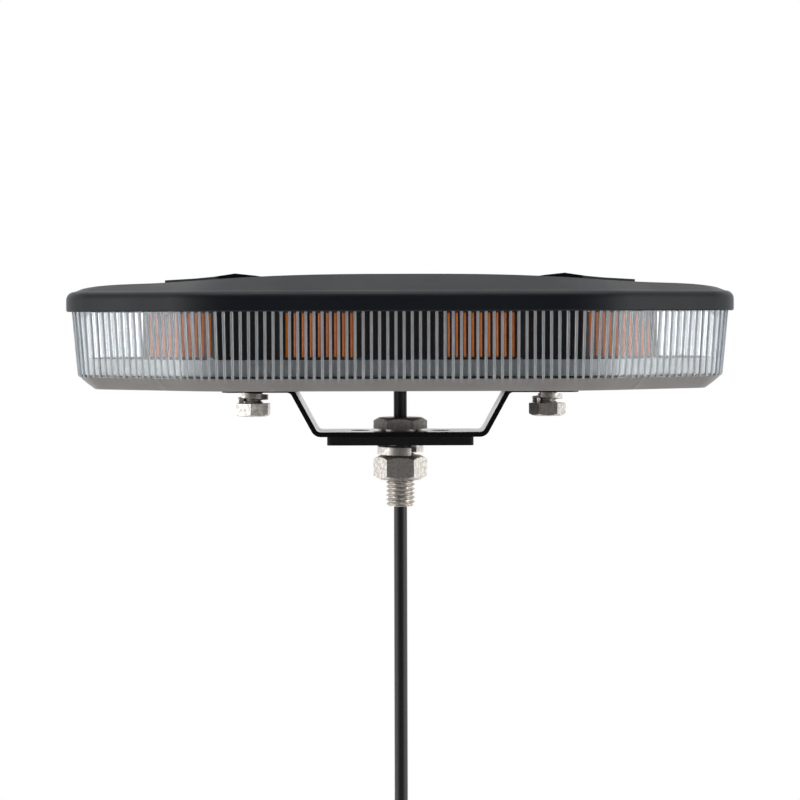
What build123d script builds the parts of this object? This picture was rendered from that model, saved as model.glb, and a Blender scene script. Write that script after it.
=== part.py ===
from build123d import *
import math
import os

# Low-profile amber LED warning beacon on a strap bracket and one hollow M12 bolt.
# +Z is up and +X runs along the lamp. The origin is on the bolt's axis, on the underside of
# the rubber pad, which is the face that sits on a vehicle's panel. All sizes are in mm.

# Plan of the lamp: an elongated octagon with rounded corners
BODY_LENGTH = 266.0
BODY_DEPTH = 144.0
FRONT_FLAT = 149.0
END_FLAT = 66.8
FRONT_ROUND = 50.0
END_ROUND = 20.0
SMALLEST_ROUND = 3.0

# Heights
FLOOR_Z = 23.3
CHAMFER_TOP_Z = 28.2
PARTING_Z = 54.0
RIM_TOP_Z = 62.0
TOP_Z = 69.5

# Lens bowl: insets are measured inwards from the plan of the cover
LENS_FLOOR_INSET = 11.5
LENS_CHAMFER_INSET = 4.5
LENS_TOP_INSET = 2.1
LENS_WALL = 2.6
LENS_FLOOR = 3.0
LENS_CABLE_HOLE_R = 5.0
TONGUE_INSET = 2.9
TONGUE_TOP_Z = 57.0

# Top cover
COVER_WALL = 2.5
GASKET_WIDTH = 1.8
RIM_ROUND = 3.3
RIM_FOOT_CHAMFER = 0.5
BEVEL_FOOT_INSET = 3.4
BEVEL_HEAD_INSET = 22.0
GASKET_TOP_Z = 58.2
CROWN = [(118.0, 64.3), (98.0, 65.1), (53.0, 67.6)]
CROWN_END = (133.0, 61.8)
CROWN_TOP_Z = 68.5
PAD_OUTER_X = 94.0
PAD_INNER_X = 53.0
PAD_PROFILE = [(57.0, 68.2), (65.0, 69.05), (73.5, 67.8), (81.0, 67.2), (94.0, 66.6)]
PAD_HALF_WIDTH = 34.0
PAD_TIP_HALF_WIDTH = 20.0
PAD_SHOULDER_X = 72.0
PAD_FOOT = 6.0

# Screws that clamp the lens bowl and the tray to the cover, driven from below
CASE_SCREWS = [(36.0, 35.0), (36.0, -35.0), (-36.0, 35.0), (-36.0, -35.0), (87.0, 0.0), (-87.0, 0.0)]
CASE_SCREW_R = 2.0
CASE_HEAD_R = 3.8
CASE_HEAD_HEIGHT = 2.0
CASE_SCREW_LENGTH = 32.0
CASE_SOCKET_R = 1.25
CASE_SOCKET_DEPTH = 1.3
POST_R = 5.0
POST_TOP_Z = 44.0
BOSS_R = 4.5

# Base tray
TRAY_Z = 26.6
TRAY_FLOOR = 2.2
TRAY_INSET = 8.2
TRAY_FOOT_INSET = 13.2
TRAY_FOOT_HEIGHT = 2.8
TRAY_FOOT_SLOPE = 3.5
TRAY_SKIRT_Z = 35.5
TRAY_WALL = 2.0
INSERT_R = 6.0
INSERT_TOP_Z = 37.0
INSERT_BOSS_R = 9.0
TRAY_CABLE_HOLE_R = 8.0

# M3 screws inside the lamp
M3_R = 1.5
M3_HEAD_R = 2.8
M3_CLEARANCE_R = 1.6

# Core and its eight modules of three LEDs
CORE_INSET = 26.0
CORE_WALL = 3.0
CORE_HALF_LENGTH = 96.0
CORE_TOP_Z = 57.0
LUG_PLACES = [(54.0, 37.5), (54.0, -37.5), (-54.0, 37.5), (-54.0, -37.5)]
LUG_HALF_WIDTH = 5.0
LUG_REACH = 4.0
LUG_HEIGHT = 3.0
MODULE_Z = 45.0
FRONT_MODULE_X = 30.5
SLANT_MODULE_X = 80.0
LED_PITCH = 10.0
LED_SIZE = 3.5
LED_HEIGHT = 1.0
BOARD_SIZE = (34.0, 17.0)
BOARD_THICKNESS = 1.6
OPTIC_SIZE = (30.6, 17.0)
OPTIC_BACK = 3.0
OPTIC_FACE = 10.0
BEZEL_SIZE = (35.5, 24.0)
BEZEL_OPENING = (31.2, 17.6)
BEZEL_FACE = 10.4
BEZEL_SCREW = (15.4, 10.4)
BEZEL_SCREW_R = 1.0
BEZEL_HEAD_R = 1.7
BEZEL_HEAD = 1.3
OPTIC_PLATE = 1.5
OPTIC_CONE = (2.4, 4.8)

# Driver board
DRIVER_X = (16.0, 80.0)
DRIVER_HALF_WIDTH = 28.0
DRIVER_Z = 41.0
STANDOFFS = [(20.0, 24.0), (20.0, -24.0), (76.0, 24.0), (76.0, -24.0)]
STANDOFF_R = 3.0
CAPACITORS = [(38.0, -18.0), (38.0, 18.0), (52.0, 18.0)]
CAPACITOR_R = 5.0
CAPACITOR_HEIGHT = 12.5
INDUCTORS = [(54.0, -17.0), (69.0, -14.0)]
INDUCTOR_SIZE = (12.0, 12.0, 7.0)
CHIPS = [(46.0, 0.0, 10.0, 8.0), (64.0, 4.0, 7.0, 5.0)]
CHIP_HEIGHT = 1.8
CONNECTOR_X = (18.0, 29.0)
CONNECTOR_HALF_WIDTH = 8.0
CONNECTOR_HEIGHT = 9.0

# Supply cable inside the lamp, and its clamp
TAIL_ABOVE_BOARD = 4.5
TAIL_BEND = 9.0
CLAMP_HALF_LENGTH = 14.0
CLAMP_HALF_WIDTH = 5.0
CLAMP_FOOT = 4.0
SADDLE_HALF_LENGTH = 6.0
SADDLE_HEIGHT = 8.0
CLAMP_SCREW_X = 10.5

# Strap bracket
STRAP_WIDTH = 30.0
STRAP_THICKNESS = 2.0
PAD_THICKNESS = 3.4
PAD_LENGTH = 59.0
STRAP_FOOT_X = 34.5
STRAP_KNEE_X = 44.3
STRAP_END_X = 72.0
STRAP_BEND = 3.2
SIDE_HOLE_X = 16.3
SIDE_HOLE_R = 4.0
STRAP_CORNER_R = 4.0
PAD_CORNER_R = 2.0

# M8 bolts through the bracket's flanges
M8_X = 60.0
M8_R = 4.0
M8_HOLE_R = 4.4
M8_ACROSS_FLATS = 13.0
M8_HEAD = 5.2
M8_LENGTH = 18.0
M8_WASHER = (4.1, 6.2, 2.1)
M8_WASHER_HEIGHT = 4.8
M8_LEFT_TURN = 25.0
M8_WASHER_TURNS = (225.0, 205.0)

# Hollow M12 bolt, its spring washer and its nut
M12_R = 6.0
M12_HOLE_R = 6.3
M12_NECK_R = 5.75
M12_BORE_R = 3.1
M12_ACROSS_FLATS = 19.0
M12_HEAD = 5.3
M12_COLLAR_R = 8.8
M12_COLLAR = 0.7
M12_END_Z = -25.4
M12_NECK_END_Z = -15.2
M12_END_CHAMFER = 1.0
M12_WASHER = (6.15, 9.45, 3.1)
M12_WASHER_HEIGHT = 4.4
M12_WASHER_TURN = 298.0
NUT_TOP_Z = -4.6
NUT_HEIGHT = 10.0
NUT_BORE_R = 6.05
NUT_MOUTH_R = 6.6
CORNER_LAND = 0.96
CORNER_ANGLE = 30.0
HEAD_GAP = 0.05
WASHER_SLIT = 0.045

# Cable: straight down through the hollow bolt, then a tied coil
CABLE_R = 2.7
CABLE_TOP_Z = 27.6
CABLE_BEND_Z = -165.0
CABLE_BEND_SLOPE = 30.0
CABLE_LAST_RUN = 40.1
COIL_R = 30.0
COIL_LAYER = 4.7
COIL_BUNDLE_R = 8.2
TAIL_Y = -8.1
TAIL_LENGTH = 45.0
CORE_WIRE_R = 0.8
CORE_WIRE_LENGTH = 22.0
CORE_WIRE_GAP = 1.3
CORE_WIRE_SPREAD = 9.0
TIE_ANGLES = (90.0, 330.0)
TIE_GAP = 0.15
TIE_BAND = 1.3
TIE_WIDTH = 3.6
TIE_HEAD = (3.6, 6.0, 5.0)
GROMMET_R = 6.6
GROMMET_NECK_R = 4.95
GROMMET_LIP = 1.4
GROMMET_BOTTOM_Z = 22.2
RUNNING_GAP = 0.03

# The slanted sides: direction of their outward normal and their distance from the centre
SLANT_RUN = (BODY_LENGTH - FRONT_FLAT) / 2
SLANT_RISE = (BODY_DEPTH - END_FLAT) / 2
SLANT_LENGTH = math.hypot(SLANT_RUN, SLANT_RISE)
SLANT_NX = SLANT_RISE / SLANT_LENGTH
SLANT_NY = SLANT_RUN / SLANT_LENGTH
SLANT_REACH = SLANT_NX * BODY_LENGTH / 2 + SLANT_NY * END_FLAT / 2

EACH_SIDE = (1, -1)
FROM_BELOW = (Align.CENTER, Align.CENTER, Align.MIN)


def rod(radius, low, high, x=0.0, y=0.0):
    """Upright cylinder between two heights."""
    return Pos(x, y, low) * Cylinder(radius, high - low, align=FROM_BELOW)


def cone(low_radius, high_radius, low, high, x=0.0, y=0.0):
    """Upright frustum between two heights."""
    return Pos(x, y, low) * Cone(low_radius, high_radius, high - low, align=FROM_BELOW)


def block(x, y, z):
    """Box between pairs of limits along each axis."""
    centre = [(low + high) / 2 for low, high in (x, y, z)]
    return Pos(*centre) * Box(x[1] - x[0], y[1] - y[0], z[1] - z[0])


def octagon(inset):
    """Two corners of the plan's first quadrant, with every side moved inwards by inset."""
    end_x = BODY_LENGTH / 2 - inset
    side_y = BODY_DEPTH / 2 - inset
    reach = SLANT_REACH - inset
    end_y = (reach - SLANT_NX * end_x) / SLANT_NY
    side_x = (reach - SLANT_NY * side_y) / SLANT_NX
    return end_x, end_y, side_x, side_y


def plan(inset, z=0.0):
    """Plan outline as a face at height z, inset from the cover's outline."""
    end_x, end_y, side_x, side_y = octagon(inset)
    right = [(end_x, -end_y), (end_x, end_y), (side_x, side_y)]
    left = [(-side_x, side_y), (-end_x, end_y), (-end_x, -end_y), (-side_x, -side_y)]
    face = Polygon(*right, *left, (side_x, -side_y), align=None)
    ends = face.vertices().filter_by(lambda v: abs(abs(v.X) - end_x) < 1e-6)
    face = fillet(ends, max(END_ROUND - inset, SMALLEST_ROUND))
    fronts = face.vertices().filter_by(lambda v: abs(abs(v.X) - side_x) < 1e-6)
    return Pos(0, 0, z) * fillet(fronts, FRONT_ROUND - inset)


def stack(*levels):
    """Solid through plan outlines given as (height, inset), with straight walls between them."""
    return loft([plan(inset, z) for z, inset in levels], ruled=True)


def ring_of(outer, inner):
    """Ring face between two flat faces."""
    return outer - inner


def crown_prism(drop):
    """Everything below the cover's crowned top, lowered by drop."""
    right = [CROWN_END, *CROWN]
    left = [(-x, z) for x, z in right]
    points = [*left, (0, CROWN_TOP_Z), *reversed(right)]
    top = Spline(*[(x, z - drop) for x, z in points])
    low = PARTING_Z - 2
    sides = Polyline(top @ 1, (CROWN_END[0], low), (-CROWN_END[0], low), top @ 0)
    return extrude(Plane.XZ * make_face([top, sides]), amount=BODY_DEPTH / 2, both=True)


def crown_height(x):
    """Height of the crown between the straight stretches of its profile."""
    profile = [(0.0, CROWN_TOP_Z), *reversed(CROWN), CROWN_END]
    for (x0, z0), (x1, z1) in zip(profile, profile[1:]):
        if x0 <= abs(x) <= x1:
            return z0 + (z1 - z0) * (abs(x) - x0) / (x1 - x0)
    raise ValueError("outside the cover")


def wing_pad(side):
    """Raised pad on one end of the cover, with a low roof at its inner end."""
    foot_z = RIM_TOP_Z
    outline = [(PAD_INNER_X - PAD_FOOT, foot_z), (PAD_INNER_X, crown_height(PAD_INNER_X)), *PAD_PROFILE]
    outline.append((PAD_OUTER_X, foot_z))
    side_view = Plane.XZ * Polygon(*[(side * x, z) for x, z in outline], align=None)
    pad = extrude(side_view, amount=PAD_HALF_WIDTH, both=True)
    corners = [(PAD_INNER_X - PAD_FOOT, PAD_HALF_WIDTH), (PAD_SHOULDER_X, PAD_HALF_WIDTH)]
    corners.append((PAD_OUTER_X, PAD_TIP_HALF_WIDTH))
    top_view = [(side * x, y) for x, y in corners] + [(side * x, -y) for x, y in reversed(corners)]
    footprint = Pos(0, 0, foot_z) * Polygon(*top_view, align=None)
    return pad & extrude(footprint, amount=10.0, dir=(0, 0, 1))


def top_cover():
    """Crowned black cover: rolled rim, sloping shoulder, crown, two wing pads and screw bosses."""
    rim = extrude(plan(0, PARTING_Z), amount=RIM_TOP_Z - PARTING_Z)
    rim = fillet(rim.edges().group_by(Axis.Z)[-1], RIM_ROUND)
    rim = chamfer(rim.edges().group_by(Axis.Z)[0], RIM_FOOT_CHAMFER)
    shoulder_foot = (RIM_TOP_Z, BEVEL_FOOT_INSET)
    shoulder = stack((RIM_TOP_Z - 2, BEVEL_FOOT_INSET), shoulder_foot, (TOP_Z, BEVEL_HEAD_INSET))
    cover = rim + (shoulder & crown_prism(0))
    for side in EACH_SIDE:
        cover += wing_pad(side)
    groove = extrude(plan(COVER_WALL, PARTING_Z - 1), amount=GASKET_TOP_Z - PARTING_Z + 1)
    step = extrude(plan(2 * COVER_WALL, PARTING_Z - 1), amount=RIM_TOP_Z - PARTING_Z - 2)
    roof = stack((RIM_TOP_Z - 4, BEVEL_FOOT_INSET + 3), (TOP_Z - COVER_WALL, BEVEL_HEAD_INSET + 2))
    cover -= groove
    cover -= step + (roof & crown_prism(COVER_WALL))
    for x, y in CASE_SCREWS:
        cover += rod(BOSS_R, POST_TOP_Z + 0.3, crown_height(x) - COVER_WALL + 1, x, y)
        cover -= rod(CASE_SCREW_R + RUNNING_GAP, POST_TOP_Z, FLOOR_Z + CASE_SCREW_LENGTH + 1, x, y)
    return cover


def cover_gasket():
    """Rubber cord seal between the lens bowl's tongue and the cover."""
    face = ring_of(plan(TONGUE_INSET, TONGUE_TOP_Z), plan(TONGUE_INSET + GASKET_WIDTH, TONGUE_TOP_Z))
    return extrude(face, amount=GASKET_TOP_Z - TONGUE_TOP_Z)


def lens_bowl():
    """Clear lens: drafted wall, chamfered foot, floor, and a tongue that enters the cover."""
    wall_foot = (CHAMFER_TOP_Z, LENS_CHAMFER_INSET)
    lens = stack((FLOOR_Z, LENS_FLOOR_INSET), wall_foot, (PARTING_Z, LENS_TOP_INSET))
    lens += extrude(plan(TONGUE_INSET, PARTING_Z), amount=TONGUE_TOP_Z - PARTING_Z)
    floor_z = FLOOR_Z + LENS_FLOOR
    knee = (CHAMFER_TOP_Z + 1.0, LENS_CHAMFER_INSET + LENS_WALL)
    lens -= stack((floor_z, LENS_FLOOR_INSET + 0.8), knee, (TONGUE_TOP_Z + 0.1, LENS_TOP_INSET + LENS_WALL))
    lens -= rod(LENS_CABLE_HOLE_R, FLOOR_Z - 1, floor_z + 1)
    for side in EACH_SIDE:
        lens -= rod(M8_R + 0.5, FLOOR_Z - 1, floor_z + 1, side * M8_X)
    for x, y in CASE_SCREWS:
        lens -= rod(CASE_SCREW_R + 0.3, FLOOR_Z - 1, floor_z + 1, x, y)
        lens -= cone(CASE_HEAD_R + 0.2, CASE_SCREW_R + 0.2, FLOOR_Z, FLOOR_Z + CASE_HEAD_HEIGHT, x, y)
    return lens


def base_tray():
    """Cast aluminium tray with a skirt, screw posts, bosses for the inserts and a cable hole."""
    knee = (TRAY_Z + TRAY_FOOT_HEIGHT, TRAY_INSET)
    tray = stack((TRAY_Z, TRAY_FOOT_INSET), knee, (TRAY_SKIRT_Z, TRAY_INSET))
    floor_z = TRAY_Z + TRAY_FLOOR
    inside = TRAY_INSET + TRAY_WALL
    slope_top = (floor_z + TRAY_FOOT_SLOPE, inside)
    tray -= stack((floor_z, inside + TRAY_FOOT_SLOPE), slope_top, (TRAY_SKIRT_Z + 1, inside))
    for side in EACH_SIDE:
        tray += rod(INSERT_BOSS_R, floor_z - 1, INSERT_TOP_Z, side * M8_X)
        tray -= rod(INSERT_R + 0.02, TRAY_Z - 1, INSERT_TOP_Z + 1, side * M8_X)
    for x, y in CASE_SCREWS:
        tray += rod(POST_R, floor_z - 1, POST_TOP_Z, x, y)
        tray -= rod(CASE_SCREW_R + 0.1, TRAY_Z - 1, POST_TOP_Z + 1, x, y)
    for x, y in LUG_PLACES:
        tray -= rod(M3_R + RUNNING_GAP, TRAY_Z - 1, floor_z + 1, x, y)
    for x, y in STANDOFFS:
        tray -= rod(M3_R + RUNNING_GAP, TRAY_Z - 1, floor_z + 1, x, y)
    for side in EACH_SIDE:
        tray -= rod(M3_R + RUNNING_GAP, TRAY_Z - 1, floor_z + 1, side * CLAMP_SCREW_X)
    return tray - rod(TRAY_CABLE_HOLE_R, TRAY_Z - 1, floor_z + 1)


def threaded_insert(side):
    """Steel insert with an M8 thread, pressed into one of the tray's bosses."""
    return rod(INSERT_R, TRAY_Z, INSERT_TOP_Z, side * M8_X) - rod(M8_R + RUNNING_GAP, 0, 99, side * M8_X)


def case_screw(x, y):
    """Long countersunk M4 screw, with a hexagon socket."""
    head_top = FLOOR_Z + CASE_HEAD_HEIGHT
    screw = cone(CASE_HEAD_R, CASE_SCREW_R, FLOOR_Z + 0.1, head_top, x, y)
    screw += rod(CASE_SCREW_R, head_top - 0.2, FLOOR_Z + CASE_SCREW_LENGTH, x, y)
    socket = extrude(RegularPolygon(CASE_SOCKET_R, 6, major_radius=False), amount=CASE_SOCKET_DEPTH)
    return screw - Pos(x, y, FLOOR_Z) * socket


def core_outline(inset, half_length):
    """Plan of the core: the octagon with its ends cut square."""
    _, _, side_x, side_y = octagon(inset)
    end_y = (SLANT_REACH - inset - SLANT_NX * half_length) / SLANT_NY
    quarter = [(half_length, end_y), (side_x, side_y)]
    upper = quarter + [(-x, y) for x, y in reversed(quarter)]
    return Polygon(*upper, *[(x, -y) for x, y in reversed(upper)], align=None)


def led_core():
    """Upright black aluminium ring that carries the modules, with lugs screwed to the tray."""
    foot_z = TRAY_Z + TRAY_FLOOR + 0.1
    outside = core_outline(CORE_INSET, CORE_HALF_LENGTH)
    inside = core_outline(CORE_INSET + CORE_WALL, CORE_HALF_LENGTH - CORE_WALL)
    core = extrude(Pos(0, 0, foot_z) * ring_of(outside, inside), amount=CORE_TOP_Z - foot_z)
    for x, y in LUG_PLACES:
        wall_y = math.copysign(BODY_DEPTH / 2 - CORE_INSET - 1, y)
        lug_y = sorted((wall_y, y - math.copysign(LUG_REACH, y)))
        core += block((x - LUG_HALF_WIDTH, x + LUG_HALF_WIDTH), lug_y, (foot_z, foot_z + LUG_HEIGHT))
        core -= rod(M3_CLEARANCE_R, foot_z - 1, foot_z + LUG_HEIGHT + 1, x, y)
    for place in module_places():
        for screw_x, screw_z in bezel_screw_places():
            hole = Pos(screw_x, 0, screw_z) * Rot(X=90) * Cylinder(BEZEL_SCREW_R + RUNNING_GAP, 8.0)
            core -= place * hole
    return core


def module_places():
    """Seat of each module on the core: its local +Y points outwards."""
    places = []
    face_y = BODY_DEPTH / 2 - CORE_INSET
    slant_y = (SLANT_REACH - CORE_INSET - SLANT_NX * SLANT_MODULE_X) / SLANT_NY
    turn = math.degrees(math.atan2(SLANT_NY, SLANT_NX)) - 90
    for x_sign in EACH_SIDE:
        for y_sign in EACH_SIDE:
            half_turn = 0 if y_sign > 0 else 180
            places.append(Pos(x_sign * FRONT_MODULE_X, y_sign * face_y, MODULE_Z) * Rot(Z=half_turn))
            slant = half_turn + turn * x_sign * y_sign
            places.append(Pos(x_sign * SLANT_MODULE_X, y_sign * slant_y, MODULE_Z) * Rot(Z=slant))
    return places


def bezel_screw_places():
    """Two opposite corners of a module."""
    x, z = BEZEL_SCREW
    return [(x, z), (-x, -z)]


def led_places():
    """The three LEDs along a module."""
    return [step * LED_PITCH for step in (-1, 0, 1)]


def led_board():
    """Small circuit board flat on the core."""
    length, height = BOARD_SIZE
    return block((-length / 2, length / 2), (0.02, BOARD_THICKNESS), (-height / 2, height / 2))


def led_emitter(x):
    """One square surface-mount LED."""
    half = LED_SIZE / 2
    top = BOARD_THICKNESS + LED_HEIGHT
    return block((x - half, x + half), (BOARD_THICKNESS, top), (-half, half))


def led_optic():
    """Three collimating cones moulded on one clear plate."""
    length, height = OPTIC_SIZE
    plate_back = OPTIC_FACE - OPTIC_PLATE
    plate = block((-length / 2, length / 2), (plate_back, OPTIC_FACE), (-height / 2, height / 2))
    cone_end = plate_back + 0.5
    cup = Rot(X=-90) * Cone(*OPTIC_CONE, cone_end - OPTIC_BACK)
    for x in led_places():
        plate += Pos(x, (OPTIC_BACK + cone_end) / 2, 0) * cup
    return plate


def led_bezel():
    """Black frame around an optic, held to the core by two screws."""
    length, height = BEZEL_SIZE
    gap = BOARD_THICKNESS + 0.1
    bezel = block((-length / 2, length / 2), (gap, BEZEL_FACE), (-height / 2, height / 2))
    length, height = BEZEL_OPENING
    bezel -= block((-length / 2, length / 2), (0, BEZEL_FACE + 1), (-height / 2, height / 2))
    for x, z in bezel_screw_places():
        bezel -= Pos(x, 6, z) * Rot(X=90) * Cylinder(BEZEL_SCREW_R + RUNNING_GAP, 14.0)
        bezel -= Pos(x, BEZEL_FACE, z) * Rot(X=90) * Cylinder(BEZEL_HEAD_R + 0.1, 3.0)
    return bezel


def bezel_screw(x, z):
    """M2 cap screw through the bezel into the core."""
    seat = BEZEL_FACE - 1.5
    tip = 0.5 - CORE_WALL
    shank = Pos(x, (seat + tip) / 2, z) * Rot(X=90) * Cylinder(BEZEL_SCREW_R, seat - tip)
    head = Pos(x, seat + BEZEL_HEAD / 2, z) * Rot(X=90) * Cylinder(BEZEL_HEAD_R, BEZEL_HEAD)
    slot = block((x - 2, x + 2), (seat + 0.9, seat + 2), (z - 0.25, z + 0.25))
    return shank + head - slot


def pan_screw(tip, seat, x, y):
    """M3 pan-head screw pointing down, with a cross recess."""
    head_top = seat + 0.8 * M3_R
    head = rod(M3_HEAD_R, seat, head_top, x, y)
    head = fillet(head.edges().group_by(Axis.Z)[-1], 0.4 * M3_R)
    screw = head + rod(M3_R, tip, seat, x, y)
    for length, width in ((2.2, 0.5), (0.5, 2.2)):
        screw -= Pos(x, y, head_top) * Box(length, width, 1.0)
    return screw


def core_screw(x, y):
    """Screw through one of the core's lugs into the tray."""
    lug_top = TRAY_Z + TRAY_FLOOR + 0.1 + LUG_HEIGHT
    return pan_screw(TRAY_Z + 0.2, lug_top, x, y)


def board_screw(x, y):
    """Screw through the driver board into a standoff."""
    return pan_screw(DRIVER_Z - 6, DRIVER_Z + BOARD_THICKNESS, x, y)


def clamp_screw(side):
    """Screw through one ear of the cable clamp into the tray."""
    return pan_screw(TRAY_Z + 0.2, TRAY_Z + TRAY_FLOOR + CLAMP_FOOT, side * CLAMP_SCREW_X, 0)


def driver_board():
    """Board of the flash driver, on four standoffs."""
    board_z = (DRIVER_Z, DRIVER_Z + BOARD_THICKNESS)
    board = block(DRIVER_X, (-DRIVER_HALF_WIDTH, DRIVER_HALF_WIDTH), board_z)
    for x, y in STANDOFFS:
        board -= rod(M3_CLEARANCE_R, DRIVER_Z - 1, DRIVER_Z + 3, x, y)
    return board


def board_standoff(x, y):
    """Hexagonal spacer with a threaded hole right through."""
    foot = TRAY_Z + TRAY_FLOOR
    section = Pos(x, y, foot) * RegularPolygon(STANDOFF_R, 6, major_radius=False)
    body = extrude(section, amount=DRIVER_Z - foot)
    return body - rod(M3_R + RUNNING_GAP, foot - 1, DRIVER_Z + 1, x, y)


def driver_capacitor(x, y):
    """Electrolytic can with a rolled groove near its foot."""
    foot = DRIVER_Z + BOARD_THICKNESS
    can = rod(CAPACITOR_R, foot, foot + CAPACITOR_HEIGHT, x, y)
    can = fillet(can.edges().group_by(Axis.Z)[-1], 0.8)
    groove = (foot + 1.6, foot + 2.4)
    return can - (rod(CAPACITOR_R + 1, *groove, x, y) - rod(CAPACITOR_R - 0.4, *groove, x, y))


def driver_inductor(x, y):
    """Shielded square inductor."""
    foot = DRIVER_Z + BOARD_THICKNESS
    body = Pos(x, y, foot) * Box(*INDUCTOR_SIZE, align=FROM_BELOW)
    return chamfer(body.edges().filter_by(Axis.Z), 1.5)


def driver_chip(x, y, length, width):
    """Moulded integrated circuit."""
    foot = DRIVER_Z + BOARD_THICKNESS
    body = Pos(x, y, foot) * Box(length, width, CHIP_HEIGHT, align=FROM_BELOW)
    return chamfer(body.edges().group_by(Axis.Z)[-1], 0.25)


def power_connector():
    """Header on the driver board that the supply cable's tail plugs into."""
    foot = DRIVER_Z + BOARD_THICKNESS
    sides = (-CONNECTOR_HALF_WIDTH, CONNECTOR_HALF_WIDTH)
    body = block(CONNECTOR_X, sides, (foot, foot + CONNECTOR_HEIGHT))
    return chamfer(body.edges().filter_by(Axis.X), 0.6)


def supply_tail():
    """Cable inside the lamp, from the grommet to the header."""
    height = DRIVER_Z + BOARD_THICKNESS + TAIL_ABOVE_BOARD
    end = (CONNECTOR_X[0] - 0.05, 0, height)
    path = FilletPolyline((0, 0, CABLE_TOP_Z + 0.3), (0, 0, height), end, radius=TAIL_BEND)
    return sweep(Plane(path @ 0, z_dir=path % 0) * Circle(CABLE_R), path=path)


def cable_clamp():
    """Saddle that holds the supply cable's tail down on the tray."""
    foot = TRAY_Z + TRAY_FLOOR
    sides = (-CLAMP_HALF_WIDTH, CLAMP_HALF_WIDTH)
    ears_top = foot + CLAMP_FOOT
    top = foot + SADDLE_HEIGHT
    clamp = block((-CLAMP_HALF_LENGTH, CLAMP_HALF_LENGTH), sides, (foot, ears_top))
    clamp += block((-SADDLE_HALF_LENGTH, SADDLE_HALF_LENGTH), sides, (ears_top - 0.5, top))
    clamp = fillet(clamp.edges().filter_by(Axis.Z), 1.0)
    for side in EACH_SIDE:
        clamp -= rod(M3_CLEARANCE_R, foot - 1, ears_top + 1, side * CLAMP_SCREW_X)
    return clamp - rod(CABLE_R + RUNNING_GAP, foot - 1, top + 1)


def cable_grommet():
    """Rubber grommet in the lens bowl's floor, which the cable leaves through."""
    body = rod(GROMMET_R, GROMMET_BOTTOM_Z, FLOOR_Z - 0.02)
    body = fillet(body.edges().group_by(Axis.Z)[0], 0.7)
    top = FLOOR_Z + LENS_FLOOR
    body += rod(GROMMET_NECK_R, FLOOR_Z - 0.1, top + 0.1)
    body += rod(GROMMET_R, top + 0.02, top + GROMMET_LIP)
    return body - rod(CABLE_R + RUNNING_GAP, 0, 40)


def strap_path():
    """Middle line of the bracket's strap, from one end to the other."""
    half = STRAP_THICKNESS / 2
    flange_z = FLOOR_Z - half
    flat_z = PAD_THICKNESS + half
    rise = FLOOR_Z - STRAP_THICKNESS - PAD_THICKNESS
    lean = STRAP_KNEE_X - STRAP_FOOT_X
    shift = half * (math.hypot(lean, rise) - lean) / rise
    knee = STRAP_KNEE_X - shift
    foot = STRAP_FOOT_X - shift
    right = [(foot, 0, flat_z), (knee, 0, flange_z), (STRAP_END_X, 0, flange_z)]
    left = [(-x, y, z) for x, y, z in reversed(right)]
    return FilletPolyline(*left, *right, radius=STRAP_BEND)


def mounting_bracket():
    """Folded steel strap: flat foot, two leaning legs and two flanges under the lamp."""
    path = strap_path()
    section = Plane(path @ 0, x_dir=(0, 1, 0), z_dir=path % 0) * Rectangle(STRAP_WIDTH, STRAP_THICKNESS)
    strap = sweep(section, path=path)
    ends = strap.edges().filter_by(Axis.Z).filter_by(lambda e: abs(abs(e.center().X) - STRAP_END_X) < 0.01)
    strap = fillet(ends, STRAP_CORNER_R)
    strap -= rod(M12_HOLE_R, 0, 10)
    for side in EACH_SIDE:
        strap -= rod(M8_HOLE_R, FLOOR_Z - 5, FLOOR_Z + 1, side * M8_X)
        strap -= rod(SIDE_HOLE_R, 0, 10, side * SIDE_HOLE_X)
    return strap


def mount_pad():
    """Rubber pad between the bracket's foot and the vehicle's panel."""
    pad = Box(PAD_LENGTH, STRAP_WIDTH, PAD_THICKNESS, align=FROM_BELOW)
    pad = fillet(pad.edges().filter_by(Axis.Z), PAD_CORNER_R)
    for side in EACH_SIDE:
        pad -= rod(SIDE_HOLE_R, -1, PAD_THICKNESS + 1, side * SIDE_HOLE_X)
    return pad - rod(M12_HOLE_R, -1, PAD_THICKNESS + 1)


def hexagon(across_flats, low, high, bevel_low, bevel_high):
    """Hexagonal blank, its corners turned off on the chosen ends."""
    corner = across_flats / math.sqrt(3)
    land = CORNER_LAND * across_flats / 2
    drop = (corner - land) * math.tan(math.radians(CORNER_ANGLE))
    low_points = [(land, low), (corner, low + drop)] if bevel_low else [(corner, low)]
    high_points = [(corner, high - drop), (land, high)] if bevel_high else [(corner, high)]
    profile = Polygon((0, low), *low_points, *high_points, (0, high), align=None)
    turned = revolve(Plane.XZ * profile, axis=Axis.Z)
    section = Pos(0, 0, low) * RegularPolygon(across_flats / 2, 6, major_radius=False)
    return extrude(section, amount=high - low) & turned


def spring_washer(inner, outer, thickness, height, low, turn):
    """Split spring washer left standing open: its square section climbs clockwise from its low tip."""
    middle = (inner + outer) / 2
    pitch = height - thickness
    path = Helix(pitch=pitch, height=pitch * (1 - WASHER_SLIT), radius=middle, lefthand=True)
    section = Plane(path @ 0, x_dir=(1, 0, 0), z_dir=path % 0) * Rectangle(outer - inner, thickness)
    coil = sweep(section, path=path, is_frenet=True)
    return Pos(0, 0, low + thickness / 2) * Rot(Z=turn) * coil


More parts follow.
